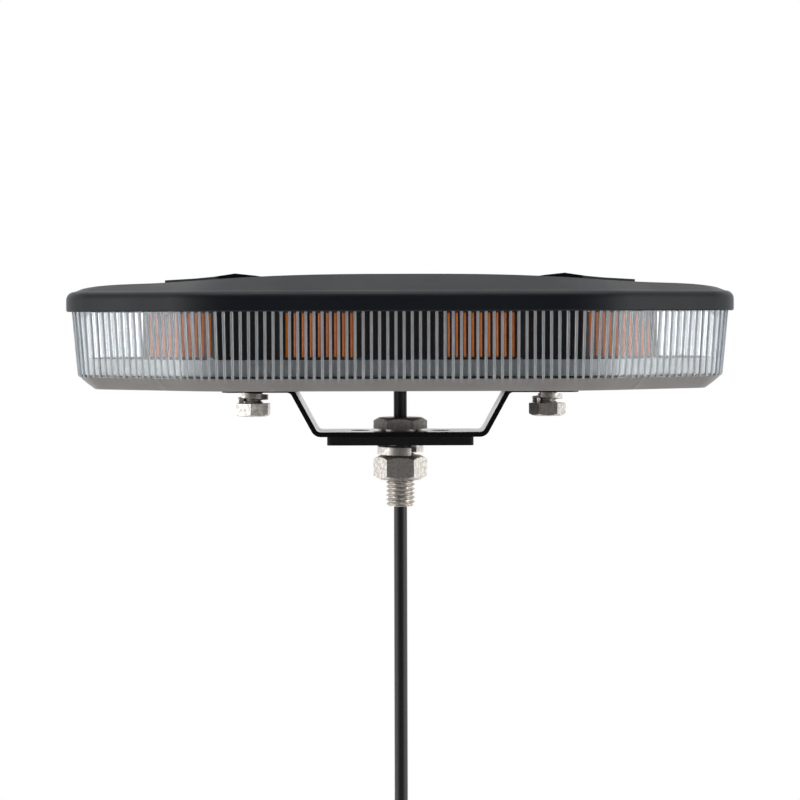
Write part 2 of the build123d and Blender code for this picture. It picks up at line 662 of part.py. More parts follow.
def bracket_bolt(side):
    """M8 hexagon bolt, head down, through a flange into the tray's insert."""
    seat = FLOOR_Z - STRAP_THICKNESS - M8_WASHER_HEIGHT
    head = hexagon(M8_ACROSS_FLATS, seat - M8_HEAD, seat, True, False)
    shank = rod(M8_R, seat - 0.1, seat + M8_LENGTH)
    shank = chamfer(shank.edges().group_by(Axis.Z)[-1], 0.8)
    turn = 0 if side > 0 else M8_LEFT_TURN
    return Pos(side * M8_X, 0, 0) * Rot(Z=turn) * (head + shank)


def bracket_lock_washer(side):
    """Open spring washer between a bolt's head and its flange."""
    seat = FLOOR_Z - STRAP_THICKNESS - M8_WASHER_HEIGHT
    turn = M8_WASHER_TURNS[EACH_SIDE.index(side)]
    height = M8_WASHER_HEIGHT - 2 * HEAD_GAP
    return Pos(side * M8_X, 0, 0) * spring_washer(*M8_WASHER, height, seat + HEAD_GAP, turn)


def hollow_bolt():
    """M12 bolt with a hole right through for the cable, head on top of the bracket's foot."""
    seat = PAD_THICKNESS + STRAP_THICKNESS + HEAD_GAP
    bolt = hexagon(M12_ACROSS_FLATS, seat + M12_COLLAR, seat + M12_HEAD, False, True)
    bolt += rod(M12_COLLAR_R, seat, seat + M12_COLLAR + 0.1)
    bolt += rod(M12_NECK_R, M12_NECK_END_Z, seat + 0.1)
    end = rod(M12_R, M12_END_Z, M12_NECK_END_Z)
    bolt += chamfer(end.edges().group_by(Axis.Z)[0], M12_END_CHAMFER)
    return bolt - rod(M12_BORE_R, M12_END_Z - 1, seat + M12_HEAD + 1)


def mount_lock_washer():
    """Spring washer on top of the nut."""
    low = NUT_TOP_Z + HEAD_GAP
    return spring_washer(*M12_WASHER, M12_WASHER_HEIGHT, low, M12_WASHER_TURN)


def mount_nut():
    """M12 hexagon nut, bevelled on both ends."""
    low = NUT_TOP_Z - NUT_HEIGHT
    nut = hexagon(M12_ACROSS_FLATS, low, NUT_TOP_Z, True, True)
    nut -= rod(NUT_BORE_R, low - 1, NUT_TOP_Z + 1)
    nut -= cone(NUT_MOUTH_R, NUT_MOUTH_R - 1, low, low + 1)
    return nut - cone(NUT_MOUTH_R - 1, NUT_MOUTH_R, NUT_TOP_Z - 1, NUT_TOP_Z)


def cable_points():
    """The cable's route: down the bolt's axis, then aside into the coil."""
    slope = math.radians(CABLE_BEND_SLOPE)
    aside = CABLE_LAST_RUN * math.sin(slope)
    down = CABLE_LAST_RUN * math.cos(slope)
    bend = Vector(0, 0, CABLE_BEND_Z)
    return [Vector(0, 0, CABLE_TOP_Z), bend, bend - Vector(aside, 0, down)]


def coil_centre():
    """Centre of the coil, so that the cable runs into its outer layer without a kink."""
    entry = cable_points()[-1]
    slope = math.radians(CABLE_BEND_SLOPE)
    reach = COIL_R + COIL_LAYER
    return entry + Vector(math.cos(slope) * reach, 0, -math.sin(slope) * reach)


def cable():
    """Free stretch of the supply cable, with its bend as wide as the last run allows."""
    start, bend, entry = cable_points()
    half_turn = math.radians((bend - start).get_angle(entry - bend)) / 2
    radius = 0.45 * (entry - bend).length / math.tan(half_turn)
    path = FilletPolyline(start, bend, entry, radius=radius)
    tube = sweep(Plane(path @ 0, z_dir=path % 0) * Circle(CABLE_R), path=path)
    expected = math.pi * CABLE_R**2 * path.length
    print(f"cable: bend radius {radius:.1f}, volume {tube.volume:.1f}, expected {expected:.1f}")
    return tube


def cable_coil():
    """Outer shape of the tied coil, seven turns in one bundle."""
    return Pos(*coil_centre()) * Rot(X=90) * Torus(COIL_R, COIL_BUNDLE_R)


def coil_tie(angle):
    """Nylon tie round the coil's bundle at one place on the ring."""
    band = Cylinder(COIL_BUNDLE_R + TIE_BAND, TIE_WIDTH)
    head = Pos(COIL_BUNDLE_R + TIE_HEAD[0] / 2 + TIE_BAND / 2, 0, 0) * Box(*TIE_HEAD)
    tie = band + head - Cylinder(COIL_BUNDLE_R + TIE_GAP, TIE_WIDTH + TIE_HEAD[2])
    return Pos(*coil_centre()) * Rot(Y=-angle) * Pos(COIL_R, 0, 0) * tie


def cable_end():
    """Straight tail that hangs from the coil, in front of its turns."""
    centre = coil_centre()
    x = centre.X - COIL_R
    return Pos(0, TAIL_Y, 0) * rod(CABLE_R, centre.Z - TAIL_LENGTH, centre.Z - 2.0, x)


def core_wire(step):
    """One of the three insulated cores that stand out of the cable's cut end."""
    centre = coil_centre()
    wire = Pos(0, 0, -CORE_WIRE_LENGTH / 2) * Cylinder(CORE_WIRE_R, CORE_WIRE_LENGTH)
    foot_x = centre.X - COIL_R + CORE_WIRE_GAP * step
    foot_z = centre.Z - TAIL_LENGTH - 0.2
    return Pos(foot_x, TAIL_Y, foot_z) * Rot(Y=-CORE_WIRE_SPREAD * step) * wire


def group(shapes):
    """Several separate solids as one node."""
    return Compound(children=[solid for shape in shapes for solid in shape.solids()])


def in_every_module(shapes):
    """The same pieces in each of the eight modules."""
    return group([place * shape for place in module_places() for shape in shapes])


NODES = {
    "top_cover": top_cover(),
    "cover_gasket": cover_gasket(),
    "lens_bowl": lens_bowl(),
    "base_tray": base_tray(),
    "threaded_inserts": group([threaded_insert(side) for side in EACH_SIDE]),
    "case_screws": group([case_screw(x, y) for x, y in CASE_SCREWS]),
    "led_core": led_core(),
    "core_screws": group([core_screw(x, y) for x, y in LUG_PLACES]),
    "led_boards": in_every_module([led_board()]),
    "led_emitters": in_every_module([led_emitter(x) for x in led_places()]),
    "led_optics": in_every_module([led_optic()]),
    "led_bezels": in_every_module([led_bezel()]),
    "bezel_screws": in_every_module([bezel_screw(x, z) for x, z in bezel_screw_places()]),
    "driver_board": driver_board(),
    "board_standoffs": group([board_standoff(x, y) for x, y in STANDOFFS]),
    "board_screws": group([board_screw(x, y) for x, y in STANDOFFS]),
    "driver_capacitors": group([driver_capacitor(x, y) for x, y in CAPACITORS]),
    "driver_inductors": group([driver_inductor(x, y) for x, y in INDUCTORS]),
    "driver_chips": group([driver_chip(*place_and_size) for place_and_size in CHIPS]),
    "power_connector": power_connector(),
    "supply_tail": supply_tail(),
    "cable_clamp": cable_clamp(),
    "clamp_screws": group([clamp_screw(side) for side in EACH_SIDE]),
    "cable_grommet": cable_grommet(),
    "mounting_bracket": mounting_bracket(),
    "bracket_bolts": group([bracket_bolt(side) for side in EACH_SIDE]),
    "bracket_lock_washers": group([bracket_lock_washer(side) for side in EACH_SIDE]),
    "mount_pad": mount_pad(),
    "hollow_bolt": hollow_bolt(),
    "mount_lock_washer": mount_lock_washer(),
    "mount_nut": mount_nut(),
    "cable": cable(),
    "cable_coil": cable_coil(),
    "cable_end": cable_end(),
    "coil_ties": group([coil_tie(angle) for angle in TIE_ANGLES]),
    "core_wires": group([core_wire(step) for step in (-1, 0, 1)]),
}

os.makedirs("parts", exist_ok=True)
for name, shape in NODES.items():
    export_step(shape, f"parts/{name}.step")
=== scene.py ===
"""Looks of a strap-mounted LED warning beacon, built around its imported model.

Every length in the code is in metres unless its name ends in _MM. +Z is up and +X runs along
the lamp. The origin is on the mounting bolt's axis, on the underside of the rubber pad.
"""

import math

import bmesh
import bpy
import numpy as np
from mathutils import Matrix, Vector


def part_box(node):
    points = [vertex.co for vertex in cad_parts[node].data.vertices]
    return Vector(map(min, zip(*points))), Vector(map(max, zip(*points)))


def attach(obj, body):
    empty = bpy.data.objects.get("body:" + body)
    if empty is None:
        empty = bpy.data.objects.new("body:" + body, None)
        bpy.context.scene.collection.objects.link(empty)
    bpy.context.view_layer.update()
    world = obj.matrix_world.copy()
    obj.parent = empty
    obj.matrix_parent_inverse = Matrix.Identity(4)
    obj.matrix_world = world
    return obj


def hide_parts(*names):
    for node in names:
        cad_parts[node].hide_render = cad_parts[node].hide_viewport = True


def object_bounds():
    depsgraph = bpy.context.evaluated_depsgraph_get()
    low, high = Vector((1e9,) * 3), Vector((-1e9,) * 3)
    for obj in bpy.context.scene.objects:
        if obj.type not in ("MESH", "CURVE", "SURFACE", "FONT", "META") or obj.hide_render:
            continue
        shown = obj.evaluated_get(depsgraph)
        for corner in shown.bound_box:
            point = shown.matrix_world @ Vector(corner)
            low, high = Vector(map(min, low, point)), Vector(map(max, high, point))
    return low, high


bl_info = {
    "name": "LED Beacon Looks",
    "version": (1, 0, 0),
    "blender": (4, 5, 0),
    "location": "3D View > Sidebar > Beacon",
    "description": "Builds the lens, fasteners, cable and finishes of an LED warning beacon",
    "category": "Object",
}

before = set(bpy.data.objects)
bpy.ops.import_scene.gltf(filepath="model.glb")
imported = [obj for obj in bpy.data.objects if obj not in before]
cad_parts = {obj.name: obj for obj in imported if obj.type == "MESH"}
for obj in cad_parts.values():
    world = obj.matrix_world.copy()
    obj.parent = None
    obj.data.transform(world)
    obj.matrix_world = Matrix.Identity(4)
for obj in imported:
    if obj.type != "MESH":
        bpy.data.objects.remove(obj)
CAD_BOX = [list(corner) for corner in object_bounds()]

MM = 0.001
LAMP = "lamp"
BOLT = "mount_bolt"
NUT = "mount_nut"

# Plan of the lamp, an octagon with rounded corners, as the model has it
COVER_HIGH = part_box("top_cover")[1]
HALF_LENGTH = COVER_HIGH.x
HALF_DEPTH = COVER_HIGH.y
FRONT_HALF = 74.5 * MM
END_HALF = 33.4 * MM
END_ROUND = 20.0 * MM
FRONT_ROUND = 50.0 * MM

# Lens bowl
LENS_LOW, LENS_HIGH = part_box("lens_bowl")
LENS_FLOOR_Z = LENS_LOW.z
LENS_TONGUE_Z = LENS_HIGH.z
LENS_FOOT_Z = 28.2 * MM
PARTING_Z = 54.0 * MM
FLOOR_INSET = 11.5 * MM
FOOT_INSET = 4.5 * MM
TOP_INSET = 2.1 * MM
TONGUE_INSET = 2.9 * MM
LENS_WALL = 2.6 * MM
LENS_FLOOR = 3.0 * MM
CABLE_HOLE_R = 5.0 * MM
M8_HOLE_R = 4.5 * MM
M8_X = 60.0 * MM
CASE_SCREWS_MM = ((36.0, 35.0), (36.0, -35.0), (-36.0, 35.0), (-36.0, -35.0), (87.0, 0.0),
                  (-87.0, 0.0))
CASE_HOLE_R = 2.3 * MM
CASE_SINK_R = 4.0 * MM
CASE_SINK_END_R = 2.2 * MM
CASE_SINK_DEPTH = 2.0 * MM
RIB_HALF_SHARE = 0.19
RIB_STATIONS = RIB_HALF_SHARE * np.sin(np.radians([-90, -60, -35, -12, 12, 35, 60, 90]))
FLUTE_STATIONS = np.append(RIB_STATIONS, 0.5)
RIB_MIDDLE = [3, 4]
FOOT_ROWS = 3
TIP_ROWS = 6
WALL_ROWS = 4
FLOOR_EDGE_RISE = 0.25 * MM
FLOOR_EDGE_REACH = 0.5 * MM
FOOT_BULGE = 0.3 * MM
TONGUE_CLEARANCE = 0.3 * MM
CAVITY_RISE = 1.0 * MM
CAVITY_REACH = 0.8 * MM
PIN_MARGIN = 1.0 * MM
WELD_MARKS_MM = (0.0, 49.0, 96.5)
WELD_MARK_WIDTH = 1.2 * MM
WELD_MARK_HEIGHT = 0.6 * MM
# Top of the lens's foot band, which is tinted grey as painted shade
SHADE_BAND_TOP_Z = 27.6 * MM

# Optics
CORE_INSET = 26.0 * MM
FRONT_MODULE_X = 30.5 * MM
SLANT_MODULE_X = 80.0 * MM
MODULE_Z = 45.0 * MM
OPTIC_BACK = 3.0 * MM
OPTIC_FACE = 10.0 * MM
OPTIC_HALF_LENGTH = 15.3 * MM
OPTIC_HALF_HEIGHT = 8.5 * MM
STRIP_SHIFT = 0.5
STRIP_SEARCH = 4.0 * MM
STRIP_STATIONS = np.sin(np.radians([-90, -50, 0, 50, 90]))

# Mounting bolt
HEAD_LOW, HEAD_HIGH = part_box("hollow_bolt")
HEAD_FLATS = 19.0 * MM
HEAD_HEIGHT = 4.6 * MM
COLLAR_R = 8.8 * MM
COLLAR_HEIGHT = 0.7 * MM
M12_R = 6.0 * MM
M12_BORE_R = 3.1 * MM
M12_BORE_BREAK = 0.4 * MM
M12_CHAMFER = 1.0 * MM
M12_NECK = 5.9 * MM
M12_NECK_R = 5.75 * MM
THREAD_RUNOUT = 0.1 * MM
THREAD_EASE = 0.02 * MM
HEAD_LAND = 0.92
NUT_LAND = 0.86
NUT_MOUTH = 0.55 * MM
NUT_LOW, NUT_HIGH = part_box("mount_nut")
NUT_BORE_R = 6.05 * MM

# Bolts of the bracket
M8_LOW, M8_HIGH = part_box("bracket_bolts")
M8_R = 4.0 * MM
M8_FLATS = 13.0 * MM
M8_HEAD = 5.2 * MM
M8_NECK = 0.4 * MM
M8_NECK_R = 3.7 * MM
M8_CHAMFER = 0.8 * MM
LEFT_BOLT_TURN = math.radians(25)

# Cable and its tied coil
CABLE_TOP = (0.0, 0.0, 0.0276)
CABLE_RUN = [CABLE_TOP, (0.0, 0.0, -0.125), (0.0, 0.0, -0.165)]
COIL_CENTRE = (0.0100, -0.2171)
COIL_MIDDLE_R = 0.0300
COIL_STEP_R = 0.0047
COIL_STEP_Y = 0.0027
COIL_ENTRY = math.radians(150)
POINTS_PER_TURN = 16
TAIL_Y = -0.0081
TAIL_HEIGHTS = (-0.2231, -0.2420, -0.2621)

# Studio: places and sizes in metres, turns in degrees
OVERHEAD_PLACE = (0.0, 0.1, 1.9)
OVERHEAD_SIZE = (2.4, 1.8)
STRIP_PLACE = (1.74, -0.48, 0.05)
STRIP_SIZE = (0.42, 1.8)
STRIP_TURN = 75
FLOOR_DROP = 0.17
FLOOR_RADII = (0, 0.45, 0.9)
EYE_PLACE = (0.0, -1.0, 0.054)
EYE_ROLL = 0.15
EYE_SHIFT = -0.111


# Colours and sizes that a user would change


def linear(hex_colour):
    """Linear RGBA of an sRGB colour written as #rrggbb."""
    parts = [int(hex_colour[i:i + 2], 16) / 255 for i in (1, 3, 5)]
    return [p / 12.92 if p <= 0.04045 else ((p + 0.055) / 1.055) ** 2.4 for p in parts] + [1.0]


def colour_property(name, description, hex_colour):
    """Colour that the panel shows, with its default."""
    return bpy.props.FloatVectorProperty(
        name=name, description=description, subtype="COLOR", size=4, min=0.0, max=1.0,
        default=linear(hex_colour))


def length_property(name, description, default, low, high):
    """Length that the panel shows, with its default and its limits."""
    return bpy.props.FloatProperty(
        name=name, description=description, default=default, min=low, max=high, subtype="DISTANCE",
        unit="LENGTH", precision=5)


class BeaconLensSettings(bpy.types.PropertyGroup):
    """Sizes of the fluted lens."""

    flutes: bpy.props.IntProperty(
        name="Flutes", description="Number of upright flutes round the lens", default=216, min=40, max=400)
    flute_depth: length_property(
        "Flute depth", "How far a flute stands out of the wall", 0.78 * MM, 0.1 * MM, 1.2 * MM)
    tip_height: length_property(
        "Tip height", "Height over which a flute's lower tip rounds off", 1.3 * MM, 0.2 * MM, 4 * MM)


class BeaconOpticsSettings(bpy.types.PropertyGroup):
    """Sizes of the amber ribs on the LED optics."""

    rib_half_width: length_property(
        "Rib half width", "Half the width of an amber rib", 0.5 * MM, 0.2 * MM, 1.2 * MM)
    rib_height: length_property(
        "Rib height", "How far an amber rib stands out", 0.9 * MM, 0.2 * MM, 2 * MM)


class BeaconFastenerSettings(bpy.types.PropertyGroup):
    """Sizes of the screw threads."""

    m12_pitch: length_property(
        "M12 pitch", "Thread pitch of the mounting bolt", 1.75 * MM, 0.5 * MM, 3 * MM)
    m8_pitch: length_property(
        "M8 pitch", "Thread pitch of the bracket's bolts", 1.25 * MM, 0.5 * MM, 3 * MM)


class BeaconCableSettings(bpy.types.PropertyGroup):
    """Sizes of the supply cable."""

    diameter: length_property("Diameter", "Diameter of the cable's jacket", 5.4 * MM, 3 * MM, 6 * MM)
    length: length_property("Length", "Whole length of the cable, coil included", 1.6, 0.5, 5)


class BeaconColourSettings(bpy.types.PropertyGroup):
    """Colours of the finishes."""

    cover: colour_property("Cover", "Moulded top cover", "#14181d")
    rubber: colour_property("Rubber", "Seal, grommet and pad", "#101112")
    powder_coat: colour_property("Powder coat", "Strap bracket", "#08090a")
    jacket: colour_property("Cable jacket", "Supply cable", "#0d0e10")
    amber: colour_property("Amber", "LED phosphor", "#e8800e")
    circuit: colour_property("Circuit board", "Solder mask of the driver board", "#1c4a2c")
    sleeve: colour_property("Capacitor sleeve", "Printed sleeve of the capacitors", "#20242c")


class BeaconStageSettings(bpy.types.PropertyGroup):
    """Floor, light and camera."""

    floor: colour_property("Floor", "Pale studio floor", "#f4f4f4")
    surround: bpy.props.FloatProperty(
        name="Surround", description="Brightness of the studio's white walls", default=1.3, min=0, max=4)
    camera_side: bpy.props.FloatProperty(
        name="Camera side", description="Brightness of the dim room behind the camera", default=0.08,
        min=0, max=4)
    overhead_power: bpy.props.FloatProperty(
        name="Overhead power", description="Power of the overhead softbox", default=30.0, min=0, unit="POWER")
    strip_power: bpy.props.FloatProperty(
        name="Strip power", description="Power of each upright strip light at the sides", default=7.0,
        min=0, unit="POWER")
    focal_length: bpy.props.FloatProperty(
        name="Focal length", description="Focal length of the camera, in millimetres", default=110.25, min=20,
        max=300)


# Nodes and materials

made_finishes = {}

# Most of a noise texture's values lie between these
NOISE_LOW, NOISE_HIGH = 0.3, 0.7


def add_node(tree, kind, inputs=None, **settings):
    """Adds a shader node, sets its properties, and sets or links its sockets."""
    node = tree.nodes.new("ShaderNode" + kind)
    for name, value in settings.items():
        setattr(node, name, value)
    for key, value in (inputs or {}).items():
        if isinstance(value, bpy.types.NodeSocket):
            tree.links.new(value, node.inputs[key])
        else:
            node.inputs[key].default_value = value
    return node


def per_metre(size_mm):
    """Texture scale whose pattern repeats about every size_mm millimetres."""
    return 1000 / size_mm


def new_material(name, **sockets):
    """Empty material with one Principled shader, and the object coordinates that patterns use."""
    material = bpy.data.materials.new(name)
    material.use_nodes = True
    tree = material.node_tree
    tree.nodes.clear()
    inputs = {key.replace("_", " "): value for key, value in sockets.items()}
    shader = add_node(tree, "BsdfPrincipled", inputs)
    output = add_node(tree, "OutputMaterial", {"Surface": shader.outputs[0]})
    output.location.x = 300
    where = add_node(tree, "TexCoord").outputs["Object"]
    return material, tree, shader, where


def link_sockets(tree, shader, **sources):
    """Links nodes' outputs to the shader's sockets, whose names have _ for a space here."""
    for name, source in sources.items():
        tree.links.new(source, shader.inputs[name.replace("_", " ")])


def finish(make):
    """The material that a function makes, made once and then shared."""
    if make not in made_finishes:
        made_finishes[make] = make()
    return made_finishes[make]


def colours():
    """The scene's colour settings."""
    return bpy.context.scene.beacon_colours


def shade(colour, factor):
    """A colour made lighter or darker."""
    return [min(1.0, part * factor) for part in colour[:3]] + [1.0]


def patterned(name, dark, light, spots, rough=None, grain=None, relief=None, **sockets):
    """Material whose tint and shine vary in soft spots, and whose skin may have a fine relief.

    spots and grain are noises, each a size in millimetres and a detail. Over the spots the tint
    passes from dark to light, and the roughness from rough's first value to its second. relief is
    the strength and the height of bumps that follow the grain, or the spots without a grain.
    """
    material, tree, shader, where = new_material(name, **sockets)
    noises = [add_node(tree, "TexNoise", {"Vector": where, "Scale": per_metre(size), "Detail": detail})
              for size, detail in filter(None, (spots, grain))]
    tone = add_node(tree, "Mix", {0: noises[0].outputs[0], 6: dark, 7: light}, data_type="RGBA")
    link_sockets(tree, shader, Base_Color=tone.outputs[2])
    if rough:
        shine = add_node(tree, "MapRange", {0: noises[0].outputs[0], 1: NOISE_LOW, 2: NOISE_HIGH,
                                            3: rough[0], 4: rough[1]})
        link_sockets(tree, shader, Roughness=shine.outputs[0])
    if relief:
        bump = add_node(tree, "Bump", {"Height": noises[-1].outputs[0], "Strength": relief[0],
                                       "Distance": relief[1]})
        link_sockets(tree, shader, Normal=bump.outputs[0])
    return material


def let_light_through(material, tint):
    """Lets light pass straight through a clear moulding instead of leaving a black shadow."""
    tree = material.node_tree
    nodes = {node.type: node for node in tree.nodes}
    path = add_node(tree, "LightPath")
    clear = add_node(tree, "BsdfTransparent", {"Color": linear(tint)})
    mixed = add_node(tree, "MixShader", {0: path.outputs["Is Shadow Ray"],
                                         1: nodes["BSDF_PRINCIPLED"].outputs[0], 2: clear.outputs[0]})
    tree.links.new(mixed.outputs[0], nodes["OUTPUT_MATERIAL"].inputs["Surface"])


def textured_asa():
    """ASA moulded in a spark-eroded tool: black with a soft sheen broken up by a fine even grain."""
    material, tree, shader, where = new_material("textured_asa", Roughness=0.5, IOR=1.34)
    cover = colours().cover
    grain = add_node(tree, "TexNoise", {"Vector": where, "Scale": per_metre(0.55), "Detail": 2.0})
    patches = add_node(tree, "TexNoise", {"Vector": where, "Scale": per_metre(30), "Detail": 3.0})
    tone = add_node(tree, "Mix", {0: grain.outputs[0], 6: shade(cover, 0.7), 7: shade(cover, 1.5)},
                    data_type="RGBA")
    rough = add_node(tree, "MapRange",
                     {0: patches.outputs[0], 1: NOISE_LOW, 2: NOISE_HIGH, 3: 0.4, 4: 0.5})
    bump = add_node(tree, "Bump", {"Height": grain.outputs[0], "Strength": 0.5, "Distance": 0.08 * MM})
    link_sockets(tree, shader, Base_Color=tone.outputs[2], Roughness=rough.outputs[0],
                 Normal=bump.outputs[0])
    return material


def seal_rubber():
    """EPDM rubber: dull black, a little dusty, with the faint unevenness of a moulded seal."""
    rubber = colours().rubber
    return patterned("seal_rubber", shade(rubber, 0.8), shade(rubber, 1.5), spots=(4, 4.0),
                     grain=(0.4, 2.0), relief=(0.4, 0.05 * MM), Roughness=0.7, IOR=1.3)


def clear_polycarbonate():
    """Injection-moulded polycarbonate: water clear, glossy, with a trace of flow lines."""
    material, tree, shader, where = new_material(
        "clear_polycarbonate", Base_Color=linear("#fbfdff"), Roughness=0.02, IOR=1.586,
        Transmission_Weight=1.0)
    flow = add_node(tree, "TexNoise", {"Vector": where, "Scale": per_metre(9), "Detail": 1.0})
    bump = add_node(tree, "Bump", {"Height": flow.outputs[0], "Strength": 0.12, "Distance": 0.05 * MM})
    link_sockets(tree, shader, Normal=bump.outputs[0])
    let_light_through(material, "#f4f8fa")
    return material


def polycarbonate_painted_shade():
    """The same polycarbonate, rough and milky, tinted a dim grey that paints the shade of the lamp's inside
    seen through the foot: a band of painted shade.
    """
    return patterned("polycarbonate_painted_shade", linear("#7a7572"), linear("#94908d"), spots=(14, 2.0),
                     grain=(0.5, 2.0), relief=(0.3, 0.05 * MM), Roughness=0.42, IOR=1.586,
                     Transmission_Weight=0.25)


def optic_acrylic():
    """Moulded acrylic collimators: clear, taking the amber of the diodes that they magnify, with a faint
    painted amber glow that stands for the phosphor's fluorescence.
    """
    # The emission paints a faint amber glow on the optics, which are no lamp
    material = patterned(
        "optic_acrylic", shade(colours().amber, 0.8), linear("#f39428"), spots=(2.5, 2.0),
        relief=(0.2, 0.1 * MM), Roughness=0.12, IOR=1.49, Transmission_Weight=0.3,
        Emission_Strength=0.22, Emission_Color=linear("#f07a10"))
    let_light_through(material, "#ffc98a")
    return material


def polycarbonate_painted_highlight():
    """The lens's ribs: a rougher skin, and a pale tint that paints the highlight each rib catches, so that
    each one is a pale line on the lamp.
    """
    return patterned("polycarbonate_painted_highlight", linear("#c3cfd9"), linear("#eef4f8"), spots=(6, 2.0),
                     Roughness=0.22, IOR=1.586, Transmission_Weight=0.6)


def smoked_acrylic():
    """The optics' dark body: near black and glossy, so that only the amber ribs stand out."""
    return patterned("smoked_acrylic", linear("#0b0b0c"), linear("#1c1a17"), spots=(3, 2.0),
                     Roughness=0.15, IOR=1.45)


def cast_aluminium():
    """Die-cast aluminium, blasted and passivated: matt pale grey, cloudy, with a fine pitted skin."""
    return patterned("cast_aluminium", linear("#c6c6c6"), linear("#e4e4e3"), spots=(7, 4.0),
                     rough=(0.34, 0.5), grain=(0.7, 2.0), relief=(0.35, 0.08 * MM), Metallic=0.2)


def mottled_metal(name, dark, light, low_roughness, high_roughness):
    """Metal whose tint and shine vary in spots of about a millimetre, with finer scratches over them."""
    material, tree, shader, where = new_material(name, Metallic=1.0)
    spots = add_node(tree, "TexNoise", {"Vector": where, "Scale": per_metre(1.3), "Detail": 3.0,
                                        "Roughness": 0.6})
    stretched = add_node(tree, "Mapping", {"Vector": where, "Scale": (1.0, 1.0, 6.0)})
    scratches = add_node(tree, "TexNoise", {"Vector": stretched.outputs[0], "Scale": per_metre(0.9),
                                            "Detail": 2.0})
    contrast = add_node(tree, "MapRange", {0: spots.outputs[0], 1: 0.35, 2: 0.68, 3: 0.0, 4: 1.0})
    tone = add_node(tree, "Mix", {0: contrast.outputs[0], 6: linear(dark), 7: linear(light)},
                    data_type="RGBA")
    rough = add_node(tree, "MapRange", {0: spots.outputs[0], 1: NOISE_LOW, 2: NOISE_HIGH,
                                        3: high_roughness, 4: low_roughness})
    bump = add_node(tree, "Bump", {"Height": scratches.outputs[0], "Strength": 0.25,
                                   "Distance": 0.04 * MM})
    link_sockets(tree, shader, Base_Color=tone.outputs[2], Roughness=rough.outputs[0],
                 Normal=bump.outputs[0])
    return material


def stainless_steel():
    """Cold-forged stainless steel: bright edges, and flats mottled by tumbling and handling."""
    return mottled_metal("stainless_steel", "#b4ada6", "#e4e0db", 0.3, 0.48)


def zinc_plated_steel():
    """Zinc-plated steel: cool pale grey with a slightly uneven satin shine."""
    return mottled_metal("zinc_plated_steel", "#9a9ea2", "#c8ccd0", 0.25, 0.4)


def black_anodised():
    """Black anodised aluminium extrusion: deep black, faintly metallic along its drawing lines."""
    material, tree, shader, where = new_material("black_anodised", Metallic=0.6)
    drawn = add_node(tree, "Mapping", {"Vector": where, "Scale": (1.0, 1.0, 0.06)})
    lines = add_node(tree, "TexNoise", {"Vector": drawn.outputs[0], "Scale": per_metre(0.8),
                                        "Detail": 3.0})
    tone = add_node(tree, "Mix", {0: lines.outputs[0], 6: linear("#0b0b0c"), 7: linear("#1a1a1c")},
                    data_type="RGBA")
    rough = add_node(tree, "MapRange",
                     {0: lines.outputs[0], 1: NOISE_LOW, 2: NOISE_HIGH, 3: 0.3, 4: 0.48})
    link_sockets(tree, shader, Base_Color=tone.outputs[2], Roughness=rough.outputs[0])
    return material


def circuit_board():
    """Green solder mask over copper: a satin skin with darker routed tracks showing through."""
    material, tree, shader, where = new_material("circuit_board", Roughness=0.35, Coat_Weight=0.4)
    mask = colours().circuit
    tracks = add_node(tree, "TexBrick",
                      {"Vector": where, "Scale": per_metre(9), "Mortar Size": 0.05, "Brick Width": 0.6,
                       "Row Height": 0.2, "Color1": shade(mask, 1.0), "Color2": shade(mask, 1.25),
                       "Mortar": shade(mask, 0.55)})
    bump = add_node(tree, "Bump", {"Height": tracks.outputs[1], "Strength": 0.3, "Distance": 0.05 * MM})
    link_sockets(tree, shader, Base_Color=tracks.outputs[0], Normal=bump.outputs[0])
    return material


def white_board():
    """White solder mask on an aluminium-backed LED board: chalky white with a satin skin."""
    return patterned("white_board", linear("#d9d6cc"), linear("#f1efe8"), spots=(2.5, 2.0), Roughness=0.4)


def amber_led():
    """Phosphor-converted amber diode: a saturated orange-yellow gel, slightly granular."""
    amber = colours().amber
    return patterned("amber_led", shade(amber, 0.8), shade(amber, 1.25), spots=(0.35, 2.0),
                     Roughness=0.3, Coat_Weight=0.6)


def black_moulding():
    """Glass-filled nylon: black, satin, with faint pale fibres in its skin."""
    material, tree, shader, where = new_material("black_moulding", Roughness=0.5)
    fibres = add_node(tree, "TexNoise", {"Vector": where, "Scale": per_metre(0.6), "Detail": 3.0,
                                         "Distortion": 1.5})
    tone = add_node(tree, "Mix", {0: fibres.outputs[0], 6: linear("#0c0c0d"), 7: linear("#242527")},
                    data_type="RGBA")
    bump = add_node(tree, "Bump", {"Height": fibres.outputs[0], "Strength": 0.3, "Distance": 0.04 * MM})
    link_sockets(tree, shader, Base_Color=tone.outputs[2], Normal=bump.outputs[0])
    return material


def capacitor_sleeve():
    """Shrunk plastic sleeve over an aluminium can: smooth dark film with a pale bare top."""
    material, tree, shader, where = new_material("capacitor_sleeve", Roughness=0.28)
    film_colour = colours().sleeve
    apart = add_node(tree, "SeparateXYZ", {0: where})
    top_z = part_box("driver_capacitors")[1].z
    bare = add_node(tree, "Math", {0: apart.outputs[2], 1: top_z - 0.3 * MM}, operation="GREATER_THAN")
    film = add_node(tree, "TexNoise", {"Vector": where, "Scale": per_metre(3), "Detail": 2.0})
    sleeve = add_node(tree, "Mix", {0: film.outputs[0], 6: shade(film_colour, 0.8),
                                    7: shade(film_colour, 1.3)}, data_type="RGBA")
    tone = add_node(tree, "Mix", {0: bare.outputs[0], 6: sleeve.outputs[2], 7: linear("#c4c6c8")},
                    data_type="RGBA")
    link_sockets(tree, shader, Base_Color=tone.outputs[2], Metallic=bare.outputs[0])
    return material


